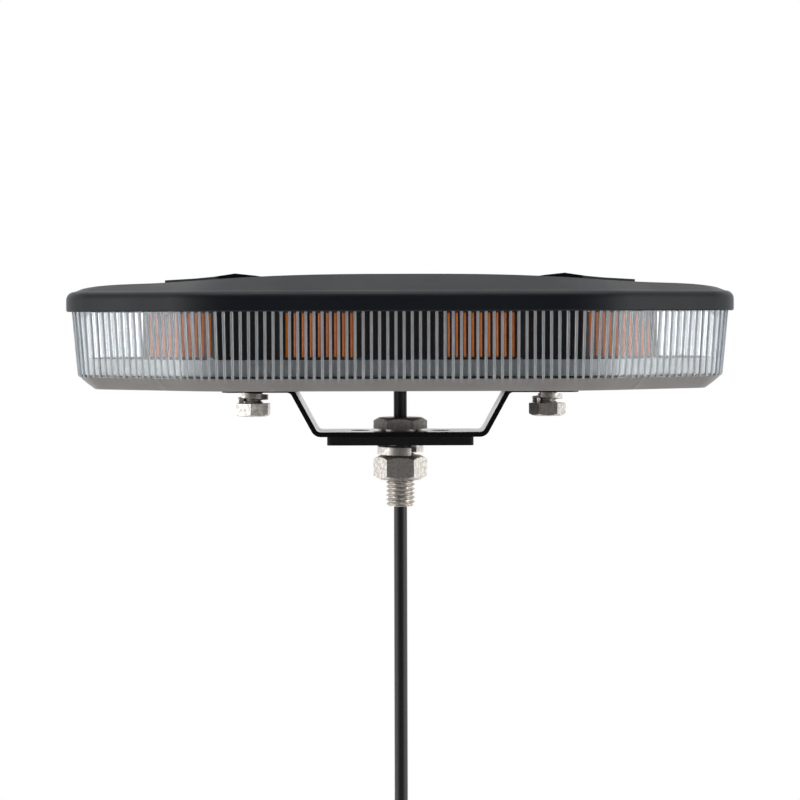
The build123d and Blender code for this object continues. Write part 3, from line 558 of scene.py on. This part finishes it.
def ferrite():
    """Pressed ferrite: dark grey ceramic, matte, with a fine sandy grain."""
    return patterned("ferrite", linear("#2a2a2c"), linear("#4a4a4d"), spots=(0.5, 3.0),
                     relief=(0.4, 0.06 * MM), Roughness=0.7)


def white_nylon():
    """Natural nylon moulding: milky off-white with light soaking a little way in."""
    return patterned("white_nylon", linear("#d8d5ca"), linear("#ebe9e0"), spots=(5, 2.0), Roughness=0.4,
                     Subsurface_Weight=0.15, Subsurface_Scale=1 * MM)


def powder_coat_black():
    """Gloss black polyester powder coat on steel: wet-looking, with a slight orange peel."""
    coat = colours().powder_coat
    return patterned("powder_coat_black", shade(coat, 0.8), shade(coat, 1.5), spots=(12, 4.0),
                     rough=(0.18, 0.28), grain=(1.6, 1.5), relief=(0.3, 0.05 * MM), IOR=1.45)


def cable_pvc():
    """Extruded PVC jacket: black, softly shiny, a little uneven along its length."""
    jacket = colours().jacket
    return patterned("cable_pvc", shade(jacket, 0.7), shade(jacket, 1.5), spots=(6, 3.0),
                     grain=(0.5, 2.0), relief=(0.25, 0.04 * MM), Roughness=0.42)


def core_insulation():
    """Thin PVC insulation of the cores: a shade for each core by where it lies, smooth and waxy."""
    material, tree, shader, where = new_material("core_insulation")
    low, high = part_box("core_wires")
    apart = add_node(tree, "SeparateXYZ", {0: where})
    across = add_node(tree, "MapRange", {0: apart.outputs[0], 1: low.x, 2: high.x, 3: 0.0, 4: 1.0})
    bands = add_node(tree, "ValToRGB", {0: across.outputs[0]})
    ramp = bands.color_ramp
    ramp.interpolation = "CONSTANT"
    ramp.elements[0].color = linear("#b8281c")
    ramp.elements[1].position = 0.34
    ramp.elements[1].color = linear("#d9b21e")
    ramp.elements.new(0.66).color = linear("#15161a")
    wax = add_node(tree, "TexNoise", {"Vector": where, "Scale": per_metre(2), "Detail": 2.0})
    rough = add_node(tree, "MapRange",
                     {0: wax.outputs[0], 1: NOISE_LOW, 2: NOISE_HIGH, 3: 0.3, 4: 0.45})
    link_sockets(tree, shader, Base_Color=bands.outputs[0], Roughness=rough.outputs[0])
    return material


def paint_nodes(finishes):
    """Gives CAD nodes their materials, as {node: material function}."""
    for node, make in finishes.items():
        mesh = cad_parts[node].data
        mesh.materials.clear()
        mesh.materials.append(finish(make))


# Surfaces and pieces


def grid_faces(rows, columns, closed):
    """Quads of a grid whose columns run round, and whose last row joins its first if closed."""
    number = np.arange(rows * columns).reshape(rows, columns)
    here = number if closed else number[:-1]
    above = np.roll(number, -1, axis=0) if closed else number[1:]
    corners = [here, np.roll(here, -1, 1), np.roll(above, -1, 1), above]
    return np.stack(corners, axis=-1).reshape(-1, 4).tolist()


def face_centres(mesh):
    """Centres of a mesh's faces, as rows of (x, y, z)."""
    values = np.empty(len(mesh.polygons) * 3)
    mesh.polygons.foreach_get("center", values)
    return values.reshape(-1, 3)


def make_piece(name, points, closed, material, crease_degrees=32, caps=True):
    """Mesh object from a grid of points (rows, columns, 3).

    Each row runs round the piece and each next row is the next step of its profile, so the faces
    join neighbours in both directions. An open grid gets a flat cap on its first and last rows.
    """
    rows, columns, _ = points.shape
    faces = grid_faces(rows, columns, closed)
    if caps and not closed:
        faces.append(list(range(columns))[::-1])
        faces.append(list(range((rows - 1) * columns, rows * columns)))
    mesh = bpy.data.meshes.new(name)
    mesh.from_pydata(points.reshape(-1, 3).tolist(), [], faces)
    clean = bmesh.new()
    clean.from_mesh(mesh)
    bmesh.ops.remove_doubles(clean, verts=clean.verts, dist=1e-7)
    clean.to_mesh(mesh)
    clean.free()
    mesh.polygons.foreach_set("use_smooth", np.ones(len(mesh.polygons), bool))
    mesh.set_sharp_from_angle(angle=math.radians(crease_degrees))
    mesh.materials.append(material)
    piece = bpy.data.objects.new(name, mesh)
    bpy.context.scene.collection.objects.link(piece)
    return piece


def declare(piece, body, slot, *nodes):
    """Puts a piece on the body that it rides on and hides the CAD nodes that it replaces; its slot is not
    used.
    """
    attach(piece, body)
    if nodes:
        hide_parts(*nodes)
    return piece


def turned(profile, columns):
    """Grid of a profile carried round the Z axis.

    The profile is a list of (radius, height), each a number or an array with one value for each
    column, and column k stands at angle 2 pi k / columns.
    """
    angle = np.arange(columns) * 2 * np.pi / columns
    radius = np.array([np.broadcast_to(r, columns) for r, _ in profile], float)
    height = np.array([np.broadcast_to(z, columns) for _, z in profile], float)
    return np.stack([radius * np.cos(angle), radius * np.sin(angle), height], axis=-1)


def hexagon_radius(flats, columns):
    """Distance from the axis to a hexagon's side at each column: half the flats over the cosine."""
    angle = np.arange(columns) * 2 * np.pi / columns
    from_middle = angle % (np.pi / 3) - np.pi / 6
    return flats / 2 / np.cos(from_middle)


def hexagon_end(flats, z, outwards, columns, land_share=HEAD_LAND):
    """The two profile steps of a hexagon's turned end, side first.

    A 30 degree cone cuts the corners: at each column the side stops below the end face by the
    side's reach past the land circle, times the tangent of 30 degrees.
    """
    side = hexagon_radius(flats, columns)
    land = land_share * flats / 2
    return [(side, z - outwards * (side - land) * math.tan(math.radians(30))), (land, z)]


def thread_rows(major, pitch, low, high, columns, chamfer):
    """Profile steps of a V thread between two heights.

    The radius is the major radius less the thread's depth times a triangle wave of the height
    over the pitch, less the share of a turn, with its crest and root flattened. A cone of 45
    degrees cuts the lower end.
    """
    turn = np.arange(columns) / columns
    steps = int(round((high - low) / pitch * 10))
    depth = 0.61 * pitch
    rows = []
    for z in np.linspace(low, high, steps + 1):
        phase = (z / pitch - turn) % 1.0
        wave = np.clip(np.abs(phase * 2 - 1) * 1.35 - 0.12, 0, 1)
        limit = major - chamfer + (z - low)
        rows.append((np.minimum(major - depth * wave, limit), z))
    return rows


# Lens


def outline(shares, inset):
    """Points of the lamp's plan and its outward normals.

    The plan is eight straight sides joined by arcs. A station's share is its distance along the
    outline that lies inset inside the plan, as a part of the whole, from the middle of the +X end.
    On an arc the normal turns by the distance along it over its radius, and then the point runs
    straight on.
    """
    run, rise = HALF_LENGTH - FRONT_HALF, HALF_DEPTH - END_HALF
    slant = math.atan2(run, rise)
    side_angles = np.array([0, slant, np.pi / 2, np.pi - slant])
    side_angles = np.concatenate([side_angles, side_angles + np.pi])
    next_angles = np.append(side_angles[1:], 2 * np.pi)
    x = np.array([HALF_LENGTH, FRONT_HALF, -FRONT_HALF, -HALF_LENGTH])
    y = np.array([END_HALF, HALF_DEPTH, HALF_DEPTH, END_HALF])
    corners = np.stack([np.concatenate([x, -x]), np.concatenate([y, -y])], axis=1)
    radii = np.array([END_ROUND, FRONT_ROUND, FRONT_ROUND, END_ROUND] * 2)
    before = np.stack([np.cos(side_angles), np.sin(side_angles)], axis=1)
    after = np.stack([np.cos(next_angles), np.sin(next_angles)], axis=1)
    reach = radii / (1 + np.sum(before * after, axis=1))
    centres = corners - reach[:, None] * (before + after)
    arcs = (radii - inset) * (next_angles - side_angles)
    ends = centres + radii[:, None] * after
    starts = np.roll(centres + radii[:, None] * before, -1, axis=0)
    straights = np.linalg.norm(starts - ends, axis=1)
    lengths = arcs + straights
    total = lengths.sum()
    station = (shares * total - straights[-1] / 2) % total
    first = np.cumsum(lengths) - lengths
    part = np.searchsorted(first, station, side="right") - 1
    along = station - first[part]
    angle = side_angles[part] + np.minimum(along, arcs[part]) / (radii[part] - inset)
    onward = np.maximum(along - arcs[part], 0)
    normal = np.stack([np.cos(angle), np.sin(angle)], axis=1)
    tangent = np.stack([-np.sin(angle), np.cos(angle)], axis=1)
    return centres[part] + radii[part][:, None] * normal + onward[:, None] * tangent, normal


def flute_plan(flutes):
    """Stations of the lens wall: where each lies within its flute, in pitches, and on the plan."""
    within = np.tile(FLUTE_STATIONS, flutes)
    number = np.repeat(np.arange(flutes), len(FLUTE_STATIONS))
    return within, *outline((number + 0.5 + within) / flutes, FOOT_INSET)


def lens_points(flutes, depth, tip_height):
    """Grid of the lens bowl: a profile of (height, inset, rib share) carried round the plan.

    Each flute has a rib whose outline is half an ellipse: it stands out by depth times the root
    of one minus the squared distance from its middle over its half width. Its share rises from
    nothing at the foot as a quarter of a circle does, which rounds the lower tips. A mark where
    the melt met in the mould stands out of the foot by a height that falls off evenly from it.
    """
    within, plan, normal = flute_plan(flutes)
    count = len(within)
    rib = depth * np.sqrt(np.clip(1 - (within / RIB_HALF_SHARE) ** 2, 0, 1))
    slope = (FOOT_INSET - TOP_INSET) / (PARTING_Z - LENS_FOOT_Z)
    foot_inset = (FLOOR_INSET + FOOT_INSET + depth) / 2 - FOOT_BULGE
    profile = [(LENS_FLOOR_Z, FLOOR_INSET, None),
               (LENS_FLOOR_Z + FLOOR_EDGE_RISE, FLOOR_INSET - FLOOR_EDGE_REACH, None),
               ((LENS_FLOOR_Z + LENS_FOOT_Z) / 2, foot_inset, None)]
    weld = np.array([np.abs(np.abs(plan[:, 0]) - x_mm * MM) for x_mm in WELD_MARKS_MM]).min(axis=0)
    mark = WELD_MARK_HEIGHT * np.clip(1 - weld / WELD_MARK_WIDTH, 0, 1)
    for share in np.sin(np.linspace(0, 1, TIP_ROWS) * np.pi / 2):
        rise = tip_height * (1 - math.sqrt(1 - share**2))
        profile.append((LENS_FOOT_Z + rise, FOOT_INSET - slope * rise, share))
    for step in np.linspace(0, 1, WALL_ROWS + 1)[1:]:
        z = LENS_FOOT_Z + tip_height + step * (PARTING_Z - LENS_FOOT_Z - tip_height)
        profile.append((z, TOP_INSET + slope * (PARTING_Z - z), 1.0))
    profile += [(PARTING_Z, TONGUE_INSET + TONGUE_CLEARANCE, None),
                (LENS_TONGUE_Z, TONGUE_INSET + TONGUE_CLEARANCE, None),
                (LENS_TONGUE_Z, TOP_INSET + LENS_WALL, None),
                (LENS_FOOT_Z + CAVITY_RISE, FOOT_INSET + LENS_WALL, None),
                (LENS_FLOOR_Z + LENS_FLOOR, FLOOR_INSET + CAVITY_REACH, None)]
    rows = []
    for z, inset, share in profile:
        if share is None:
            ground = inset - mark * (LENS_FLOOR_Z < z < LENS_FOOT_Z)
        else:
            ground = inset + depth - share * rib
        place = plan - normal * (np.broadcast_to(ground, count)[:, None])
        rows.append(np.column_stack([place, np.full(count, z)]))
    return np.array(rows)


def on_rib(points, faces):
    """Whether each face of the lens's grid lies on a rib, between its first and last stations: the faces that
    get the painted highlight.
    """
    rows, columns, _ = points.shape
    station = np.arange(columns) % len(FLUTE_STATIONS)
    row = np.arange(rows - 1)
    fluted = (row >= FOOT_ROWS) & (row < FOOT_ROWS + TIP_ROWS + WALL_ROWS - 1)
    grid = fluted[:, None] & (station < len(RIB_STATIONS) - 1)
    return np.append(grid.ravel(), np.zeros(faces - grid.size, bool))


def hole_cutters():
    """Pins that cut the lens floor's holes: one for the cable, two for the M8 bolts, six countersunk."""
    low, high = LENS_FLOOR_Z - PIN_MARGIN, LENS_FLOOR_Z + LENS_FLOOR + PIN_MARGIN
    pins = [((0, 0), [(0, low), (CABLE_HOLE_R, low), (CABLE_HOLE_R, high), (0, high)])]
    for side in (1, -1):
        pins.append(((side * M8_X, 0), [(0, low), (M8_HOLE_R, low), (M8_HOLE_R, high), (0, high)]))
    sink = CASE_SINK_R + (CASE_SINK_R - CASE_SINK_END_R) / CASE_SINK_DEPTH * (LENS_FLOOR_Z - low)
    for x, y in CASE_SCREWS_MM:
        neck = LENS_FLOOR_Z + CASE_SINK_DEPTH
        profile = [(0, low), (sink, low), (CASE_HOLE_R, neck - 0.1 * MM), (CASE_HOLE_R, high), (0, high)]
        pins.append(((x * MM, y * MM), profile))
    cutters = []
    for number, ((x, y), profile) in enumerate(pins):
        points = turned(profile, 48) + np.array([x, y, 0.0])
        cutters.append(make_piece(f"cutter_{number}", points, False, None, caps=False))
    return cutters


def cut(piece, cutters):
    """Cuts the cutters out of a piece and removes them."""
    for cutter in cutters:
        modifier = piece.modifiers.new(cutter.name, "BOOLEAN")
        modifier.operation = "DIFFERENCE"
        modifier.object = cutter
        modifier.solver = "EXACT"
    graph = bpy.context.evaluated_depsgraph_get()
    mesh = bpy.data.meshes.new_from_object(piece.evaluated_get(graph))
    piece.modifiers.clear()
    piece.data = mesh
    for cutter in cutters:
        bpy.data.objects.remove(cutter)


class BEACON_OT_lens(bpy.types.Operator):
    """Build the fluted lens bowl with the holes in its floor"""

    bl_idname = "beacon.lens"
    bl_label = "Fluted Lens"

    def execute(self, context):
        settings = context.scene.beacon_lens
        points = lens_points(settings.flutes, settings.flute_depth, settings.tip_height)
        lens = make_piece("fluted_lens", points, False, finish(clear_polycarbonate))
        # Slot 1: the foot band, tinted grey as painted shade
        lens.data.materials.append(finish(polycarbonate_painted_shade))
        # Slot 2: the ribs, tinted pale as a painted highlight
        lens.data.materials.append(finish(polycarbonate_painted_highlight))
        shade_band = face_centres(lens.data)[:, 2] < SHADE_BAND_TOP_Z
        slots = np.where(shade_band, 1, 2 * on_rib(points, len(shade_band)))
        lens.data.polygons.foreach_set("material_index", slots)
        cut(lens, hole_cutters())
        declare(lens, LAMP, "clear_polycarbonate", "lens_bowl")
        return {"FINISHED"}


# Fasteners


class BEACON_OT_mount_bolt(bpy.types.Operator):
    """Build the threaded hollow bolt that the lamp stands on"""

    bl_idname = "beacon.mount_bolt"
    bl_label = "Mounting Bolt"

    def execute(self, context):
        columns = 96
        pitch = context.scene.beacon_fasteners.m12_pitch
        low, top = HEAD_LOW.z, HEAD_HIGH.z
        seat = top - HEAD_HEIGHT - COLLAR_HEIGHT
        side = hexagon_radius(HEAD_FLATS, columns)
        mouth = M12_BORE_R + M12_BORE_BREAK
        profile = [(mouth, low)]
        profile += thread_rows(M12_R - THREAD_EASE, pitch, low, seat - M12_NECK - THREAD_RUNOUT, columns,
                               M12_CHAMFER)
        profile += [(M12_NECK_R, seat - M12_NECK), (M12_NECK_R, seat)]
        profile += [(COLLAR_R, seat), (COLLAR_R, seat + COLLAR_HEIGHT), (side, seat + COLLAR_HEIGHT)]
        profile += hexagon_end(HEAD_FLATS, top, 1, columns)
        profile += [(mouth, top), (M12_BORE_R, top - M12_BORE_BREAK), (M12_BORE_R, low + M12_BORE_BREAK)]
        bolt = make_piece("threaded_hollow_bolt", turned(profile, columns), True, finish(stainless_steel))
        declare(bolt, BOLT, "stainless_steel", "hollow_bolt")
        return {"FINISHED"}


class BEACON_OT_nut(bpy.types.Operator):
    """Build the nut with its turned ends"""

    bl_idname = "beacon.nut"
    bl_label = "Mounting Nut"

    def execute(self, context):
        columns = 96
        low, high = NUT_LOW.z, NUT_HIGH.z
        mouth = NUT_BORE_R + NUT_MOUTH
        profile = hexagon_end(HEAD_FLATS, low, -1, columns, NUT_LAND)[::-1]
        profile += hexagon_end(HEAD_FLATS, high, 1, columns, NUT_LAND)
        profile += [(mouth, high), (NUT_BORE_R, high - NUT_MOUTH), (NUT_BORE_R, low + NUT_MOUTH),
                    (mouth, low)]
        nut = make_piece("bevelled_nut", turned(profile, columns), True, finish(stainless_steel))
        declare(nut, NUT, "stainless_steel", "mount_nut")
        return {"FINISHED"}


class BEACON_OT_bracket_bolts(bpy.types.Operator):
    """Build the two threaded M8 bolts that hold the bracket"""

    bl_idname = "beacon.bracket_bolts"
    bl_label = "Bracket Bolts"

    def execute(self, context):
        columns = 72
        pitch = context.scene.beacon_fasteners.m8_pitch
        low, top = M8_LOW.z, M8_HIGH.z
        seat = low + M8_HEAD
        side = hexagon_radius(M8_FLATS, columns)
        tip = thread_rows(M8_R - THREAD_EASE, pitch, -top, -(seat + M8_NECK), columns, M8_CHAMFER)
        profile = [(0, low)] + hexagon_end(M8_FLATS, low, -1, columns)[::-1]
        profile += [(side, seat), (M8_NECK_R, seat)]
        profile += [(radius, -z) for radius, z in reversed(tip)] + [(0, top)]
        for name, x, turn in (("bracket_bolt_right", M8_X, 0.0),
                              ("bracket_bolt_left", -M8_X, LEFT_BOLT_TURN)):
            cosine, sine = math.cos(turn), math.sin(turn)
            spin = np.array([[cosine, sine, 0], [-sine, cosine, 0], [0, 0, 1]])
            points = turned(profile, columns) @ spin + np.array([x, 0, 0])
            bolt = make_piece(name, points, False, finish(stainless_steel), caps=False)
            declare(bolt, LAMP, "stainless_steel", "bracket_bolts")
        return {"FINISHED"}


# Cable


def coil_points():
    """Control points of the tied coil, seven turns that lie a diameter apart in one bundle.

    A point at ring angle a stands at the centre plus its turn's radius times (cos a, sin a). The
    radius and the place along the coil's axis pass from one turn's slot to the next's over the
    last sixth of each turn. The radius is divided by the share at which the smooth line stays
    inside its control points.
    """
    inside = (6 + 2 * math.cos(2 * math.pi / POINTS_PER_TURN)) / 8
    outer, inner = COIL_MIDDLE_R + COIL_STEP_R, COIL_MIDDLE_R - COIL_STEP_R
    slots = [(outer, -1), (outer, 1), (COIL_MIDDLE_R, 2), (inner, 1), (inner, -1), (COIL_MIDDLE_R, 0),
             (COIL_MIDDLE_R, -2)]
    slots = [(radius, place * COIL_STEP_Y) for radius, place in slots] + [(COIL_MIDDLE_R, TAIL_Y)]
    steps = len(slots[1:]) * POINTS_PER_TURN
    points = []
    for step in range(1, steps + 1):
        turn, share = divmod(step / POINTS_PER_TURN, 1)
        here, after = slots[int(turn)], slots[min(int(turn) + 1, len(slots) - 1)]
        blend = max(0.0, share * 6 - 5)
        radius = (here[0] + blend * (after[0] - here[0])) / inside
        y = here[1] + blend * (after[1] - here[1])
        angle = COIL_ENTRY + step / POINTS_PER_TURN * 2 * math.pi
        points.append((COIL_CENTRE[0] + radius * math.cos(angle), y,
                       COIL_CENTRE[1] + radius * math.sin(angle)))
    return points


def cable_points():
    """Control points of the whole cable: the straight drop, the coil's turns and the tail."""
    tail_x = COIL_CENTRE[0] - COIL_MIDDLE_R
    return CABLE_RUN + coil_points() + [(tail_x, TAIL_Y, z) for z in TAIL_HEIGHTS]


class BEACON_OT_cable(bpy.types.Operator):
    """Lay the supply cable, its tied coil and its bare end"""

    bl_idname = "beacon.cable"
    bl_label = "Supply Cable"

    def execute(self, context):
        settings = context.scene.beacon_cable
        points = cable_points()
        curve = bpy.data.curves.new("supply_cable", "CURVE")
        curve.dimensions = "3D"
        spline = curve.splines.new("NURBS")
        spline.points.add(len(points) - 1)
        for point, place in zip(spline.points, points):
            point.co = (*place, 1.0)
        spline.order_u = 3
        spline.use_endpoint_u = True
        curve.resolution_u = 8
        curve.bevel_depth = settings.diameter / 2
        curve.bevel_resolution = 5
        curve.use_fill_caps = True
        curve.materials.append(finish(cable_pvc))
        cable = bpy.data.objects.new("supply_cable", curve)
        context.scene.collection.objects.link(cable)
        declare(cable, BOLT, "cable_pvc", "cable", "cable_coil", "cable_end")
        paint_nodes({"coil_ties": white_nylon, "core_wires": core_insulation})
        return {"FINISHED"}


# Finishes of the parts whose shape the model already has


class BEACON_OT_housing(bpy.types.Operator):
    """Finish the cover, its seal, the tray and the case's screws"""

    bl_idname = "beacon.housing"
    bl_label = "Housing"

    def execute(self, context):
        paint_nodes({"top_cover": textured_asa, "cover_gasket": seal_rubber, "base_tray": cast_aluminium,
                     "threaded_inserts": zinc_plated_steel, "case_screws": zinc_plated_steel,
                     "cable_grommet": seal_rubber, "cable_clamp": white_nylon,
                     "clamp_screws": zinc_plated_steel})
        return {"FINISHED"}


def module_seats():
    """Middle of each module's seat on the core, and the turn of its outward normal from +X."""
    slant = math.atan2(HALF_LENGTH - FRONT_HALF, HALF_DEPTH - END_HALF)
    reach = (HALF_LENGTH * math.cos(slant) + END_HALF * math.sin(slant)) - CORE_INSET
    slant_y = (reach - math.cos(slant) * SLANT_MODULE_X) / math.sin(slant)
    seats = [(FRONT_MODULE_X, HALF_DEPTH - CORE_INSET, np.pi / 2), (SLANT_MODULE_X, slant_y, slant)]
    seats += [(-x, y, np.pi - turn) for x, y, turn in seats]
    return seats + [(-x, -y, turn + np.pi) for x, y, turn in seats]


def strip_optic(seat, ribs, half_width, height):
    """Grid of one module's optics: a block with an upright rib between each two of the lens's ribs.

    Its section is carried straight up. On a rib the section stands out by height times the root of
    one minus the squared distance from the rib's middle over its half width.
    """
    x, y, turn = seat
    outward = np.array([math.cos(turn), math.sin(turn)])
    across = np.array([-math.sin(turn), math.cos(turn)])
    offset = ribs - (x, y)
    near = (offset @ outward > 0) & (np.abs(offset @ across) < OPTIC_HALF_LENGTH + STRIP_SEARCH)
    middles = np.sort(offset[near] @ across)
    middles = middles[:-1] + STRIP_SHIFT * np.diff(middles)
    middles = middles[np.abs(middles) < OPTIC_HALF_LENGTH - 1.1 * half_width]
    face = OPTIC_FACE - height
    on_ribs = (middles[:, None] + STRIP_STATIONS * half_width).ravel()
    sideways = np.concatenate([[-OPTIC_HALF_LENGTH] * 2, on_ribs, [OPTIC_HALF_LENGTH] * 2])
    rise = np.tile(height * np.sqrt(1 - STRIP_STATIONS**2), len(middles))
    forward = np.concatenate([[OPTIC_BACK, face], face + rise, [face, OPTIC_BACK]])
    section = (x, y) + forward[:, None] * outward + sideways[:, None] * across
    levels = (MODULE_Z - OPTIC_HALF_HEIGHT, MODULE_Z + OPTIC_HALF_HEIGHT)
    return np.array([np.column_stack([section, np.full(len(section), z)]) for z in levels]), outward


class BEACON_OT_led_modules(bpy.types.Operator):
    """Finish the core and its eight LED modules"""

    bl_idname = "beacon.led_modules"
    bl_label = "LED Modules"

    def execute(self, context):
        settings = context.scene.beacon_optics
        paint_nodes({"led_core": black_anodised, "core_screws": zinc_plated_steel, "led_boards": white_board,
                     "led_emitters": amber_led, "led_bezels": black_moulding,
                     "bezel_screws": zinc_plated_steel})
        flutes = context.scene.beacon_lens.flutes
        ribs = flute_plan(flutes)[1].reshape(flutes, -1, 2)[:, RIB_MIDDLE].mean(axis=1)
        for number, seat in enumerate(module_seats(), 1):
            points, outward = strip_optic(seat, ribs, settings.rib_half_width, settings.rib_height)
            optic = make_piece(f"strip_optic_{number}", points, False, finish(smoked_acrylic))
            optic.data.materials.append(finish(optic_acrylic))
            forward = (face_centres(optic.data)[:, :2] - seat[:2]) @ outward
            amber = forward > OPTIC_FACE - 0.98 * settings.rib_height
            optic.data.polygons.foreach_set("material_index", amber.astype(np.int32))
            declare(optic, LAMP, "optic_acrylic", "led_optics")
        return {"FINISHED"}


class BEACON_OT_driver(bpy.types.Operator):
    """Finish the flash driver's board and its parts"""

    bl_idname = "beacon.driver"
    bl_label = "Flash Driver"

    def execute(self, context):
        paint_nodes({"driver_board": circuit_board, "board_standoffs": zinc_plated_steel,
                     "board_screws": zinc_plated_steel, "driver_capacitors": capacitor_sleeve,
                     "driver_inductors": ferrite, "driver_chips": black_moulding,
                     "power_connector": white_nylon, "supply_tail": cable_pvc})
        return {"FINISHED"}


class BEACON_OT_bracket(bpy.types.Operator):
    """Finish the strap bracket, its pad and the washers"""

    bl_idname = "beacon.bracket"
    bl_label = "Bracket"

    def execute(self, context):
        paint_nodes({"mounting_bracket": powder_coat_black, "mount_pad": seal_rubber,
                     "bracket_lock_washers": stainless_steel, "mount_lock_washer": stainless_steel})
        return {"FINISHED"}


# Stage


def studio_world(settings):
    """White studio, plain white where it is seen directly.

    Its brightness rises smoothly with y plus the size of x less z, so that the walls at the sides
    and behind the lamp are white, and the room behind the camera and over it is dim.
    """
    world = bpy.data.worlds.new("studio")
    bpy.context.scene.world = world
    world.use_nodes = True
    tree = world.node_tree
    tree.nodes.clear()
    way = add_node(tree, "TexCoord").outputs["Generated"]
    parts = add_node(tree, "SeparateXYZ", {0: way})
    aside = add_node(tree, "Math", {0: parts.outputs[0]}, operation="ABSOLUTE")
    both = add_node(tree, "Math", {0: aside.outputs[0], 1: parts.outputs[1]}, operation="ADD")
    lower = add_node(tree, "Math", {0: both.outputs[0], 1: parts.outputs[2]}, operation="SUBTRACT")
    front = add_node(tree, "MapRange", {0: lower.outputs[0], 1: -0.15, 2: 0.45,
                                        3: settings.camera_side, 4: settings.surround},
                     interpolation_type="SMOOTHSTEP")
    seen = add_node(tree, "LightPath").outputs["Is Camera Ray"]
    strength = add_node(tree, "Mix", {0: seen, 2: front.outputs[0], 3: 1.0}, data_type="FLOAT")
    background = add_node(tree, "Background",
                          {"Color": (1.0, 1.0, 1.0, 1.0), "Strength": strength.outputs[0]})
    add_node(tree, "OutputWorld", {"Surface": background.outputs[0]})


def studio_floor(settings):
    """Pale round floor a little below the cable's coil: rings of points at growing radii."""
    floor_z = CAD_BOX[0][2] - FLOOR_DROP
    points = turned([(radius, floor_z) for radius in FLOOR_RADII], 64)
    material, tree, shader, where = new_material("floor_paint", Roughness=0.8)
    shader.inputs["Base Color"].default_value = settings.floor
    floor = make_piece("studio_floor", points[::-1], False, material, caps=False)


def softbox(name, place, turn_degrees, size, power):
    """Rectangular area light of a width and height."""
    light = bpy.data.lights.new(name, "AREA")
    light.shape = "RECTANGLE"
    light.size, light.size_y = size
    light.energy = power
    lamp = bpy.data.objects.new(name, light)
    lamp.location = place
    lamp.rotation_euler = [math.radians(angle) for angle in turn_degrees]
    bpy.context.scene.collection.objects.link(lamp)


def studio_camera(settings):
    """Level camera straight in front of the lamp, a hand's breadth above the bracket."""
    camera = bpy.data.cameras.new("camera")
    camera.lens = settings.focal_length
    camera.sensor_width = 36.0
    camera.shift_y = EYE_SHIFT
    eye = bpy.data.objects.new("camera", camera)
    eye.location = EYE_PLACE
    eye.rotation_euler = (math.radians(90), math.radians(EYE_ROLL), 0.0)
    bpy.context.scene.collection.objects.link(eye)
    bpy.context.scene.camera = eye


class BEACON_OT_stage(bpy.types.Operator):
    """Set up the floor, the soft light and the camera"""

    bl_idname = "beacon.stage"
    bl_label = "Studio"

    def execute(self, context):
        settings = context.scene.beacon_stage
        studio_world(settings)
        studio_floor(settings)
        softbox("overhead", OVERHEAD_PLACE, (0, 0, 0), OVERHEAD_SIZE, settings.overhead_power)
        x, y, z = STRIP_PLACE
        for name, side in (("right_strip", 1), ("left_strip", -1)):
            softbox(name, (side * x, y, z), (90, 0, side * STRIP_TURN), STRIP_SIZE, settings.strip_power)
        studio_camera(settings)
        context.scene.view_settings.view_transform = "Standard"
        return {"FINISHED"}


# Panel and registration


SETTINGS = {
    "beacon_lens": BeaconLensSettings,
    "beacon_optics": BeaconOpticsSettings,
    "beacon_fasteners": BeaconFastenerSettings,
    "beacon_cable": BeaconCableSettings,
    "beacon_colours": BeaconColourSettings,
    "beacon_stage": BeaconStageSettings,
}

STEPS = (BEACON_OT_cable, BEACON_OT_lens, BEACON_OT_mount_bolt, BEACON_OT_nut, BEACON_OT_bracket_bolts,
         BEACON_OT_housing, BEACON_OT_led_modules, BEACON_OT_driver, BEACON_OT_bracket, BEACON_OT_stage)


class BEACON_PT_panel(bpy.types.Panel):
    """Lists the beacon's settings and the steps that build it"""

    bl_idname = "BEACON_PT_panel"
    bl_label = "LED Beacon"
    bl_space_type = "VIEW_3D"
    bl_region_type = "UI"
    bl_category = "Beacon"

    def draw(self, context):
        for name, group in SETTINGS.items():
            box = self.layout.box()
            for key in group.__annotations__:
                box.prop(getattr(context.scene, name), key)
        for step in STEPS:
            self.layout.operator(step.bl_idname)


def register():
    """Registers the settings, the operators and the panel."""
    for name, group in SETTINGS.items():
        bpy.utils.register_class(group)
        setattr(bpy.types.Scene, name, bpy.props.PointerProperty(type=group))
    for step in (*STEPS, BEACON_PT_panel):
        bpy.utils.register_class(step)


def unregister():
    """Removes what register added."""
    for step in (BEACON_PT_panel, *reversed(STEPS)):
        bpy.utils.unregister_class(step)
    for name, group in SETTINGS.items():
        delattr(bpy.types.Scene, name)
        bpy.utils.unregister_class(group)


def main():
    """Registers the add-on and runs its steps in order."""
    register()
    bpy.ops.beacon.stage()
    bpy.ops.beacon.cable()
    bpy.ops.beacon.lens()
    bpy.ops.beacon.mount_bolt()
    bpy.ops.beacon.nut()
    bpy.ops.beacon.bracket_bolts()
    bpy.ops.beacon.housing()
    bpy.ops.beacon.led_modules()
    bpy.ops.beacon.driver()
    bpy.ops.beacon.bracket()


if __name__ == "__main__":
    main()
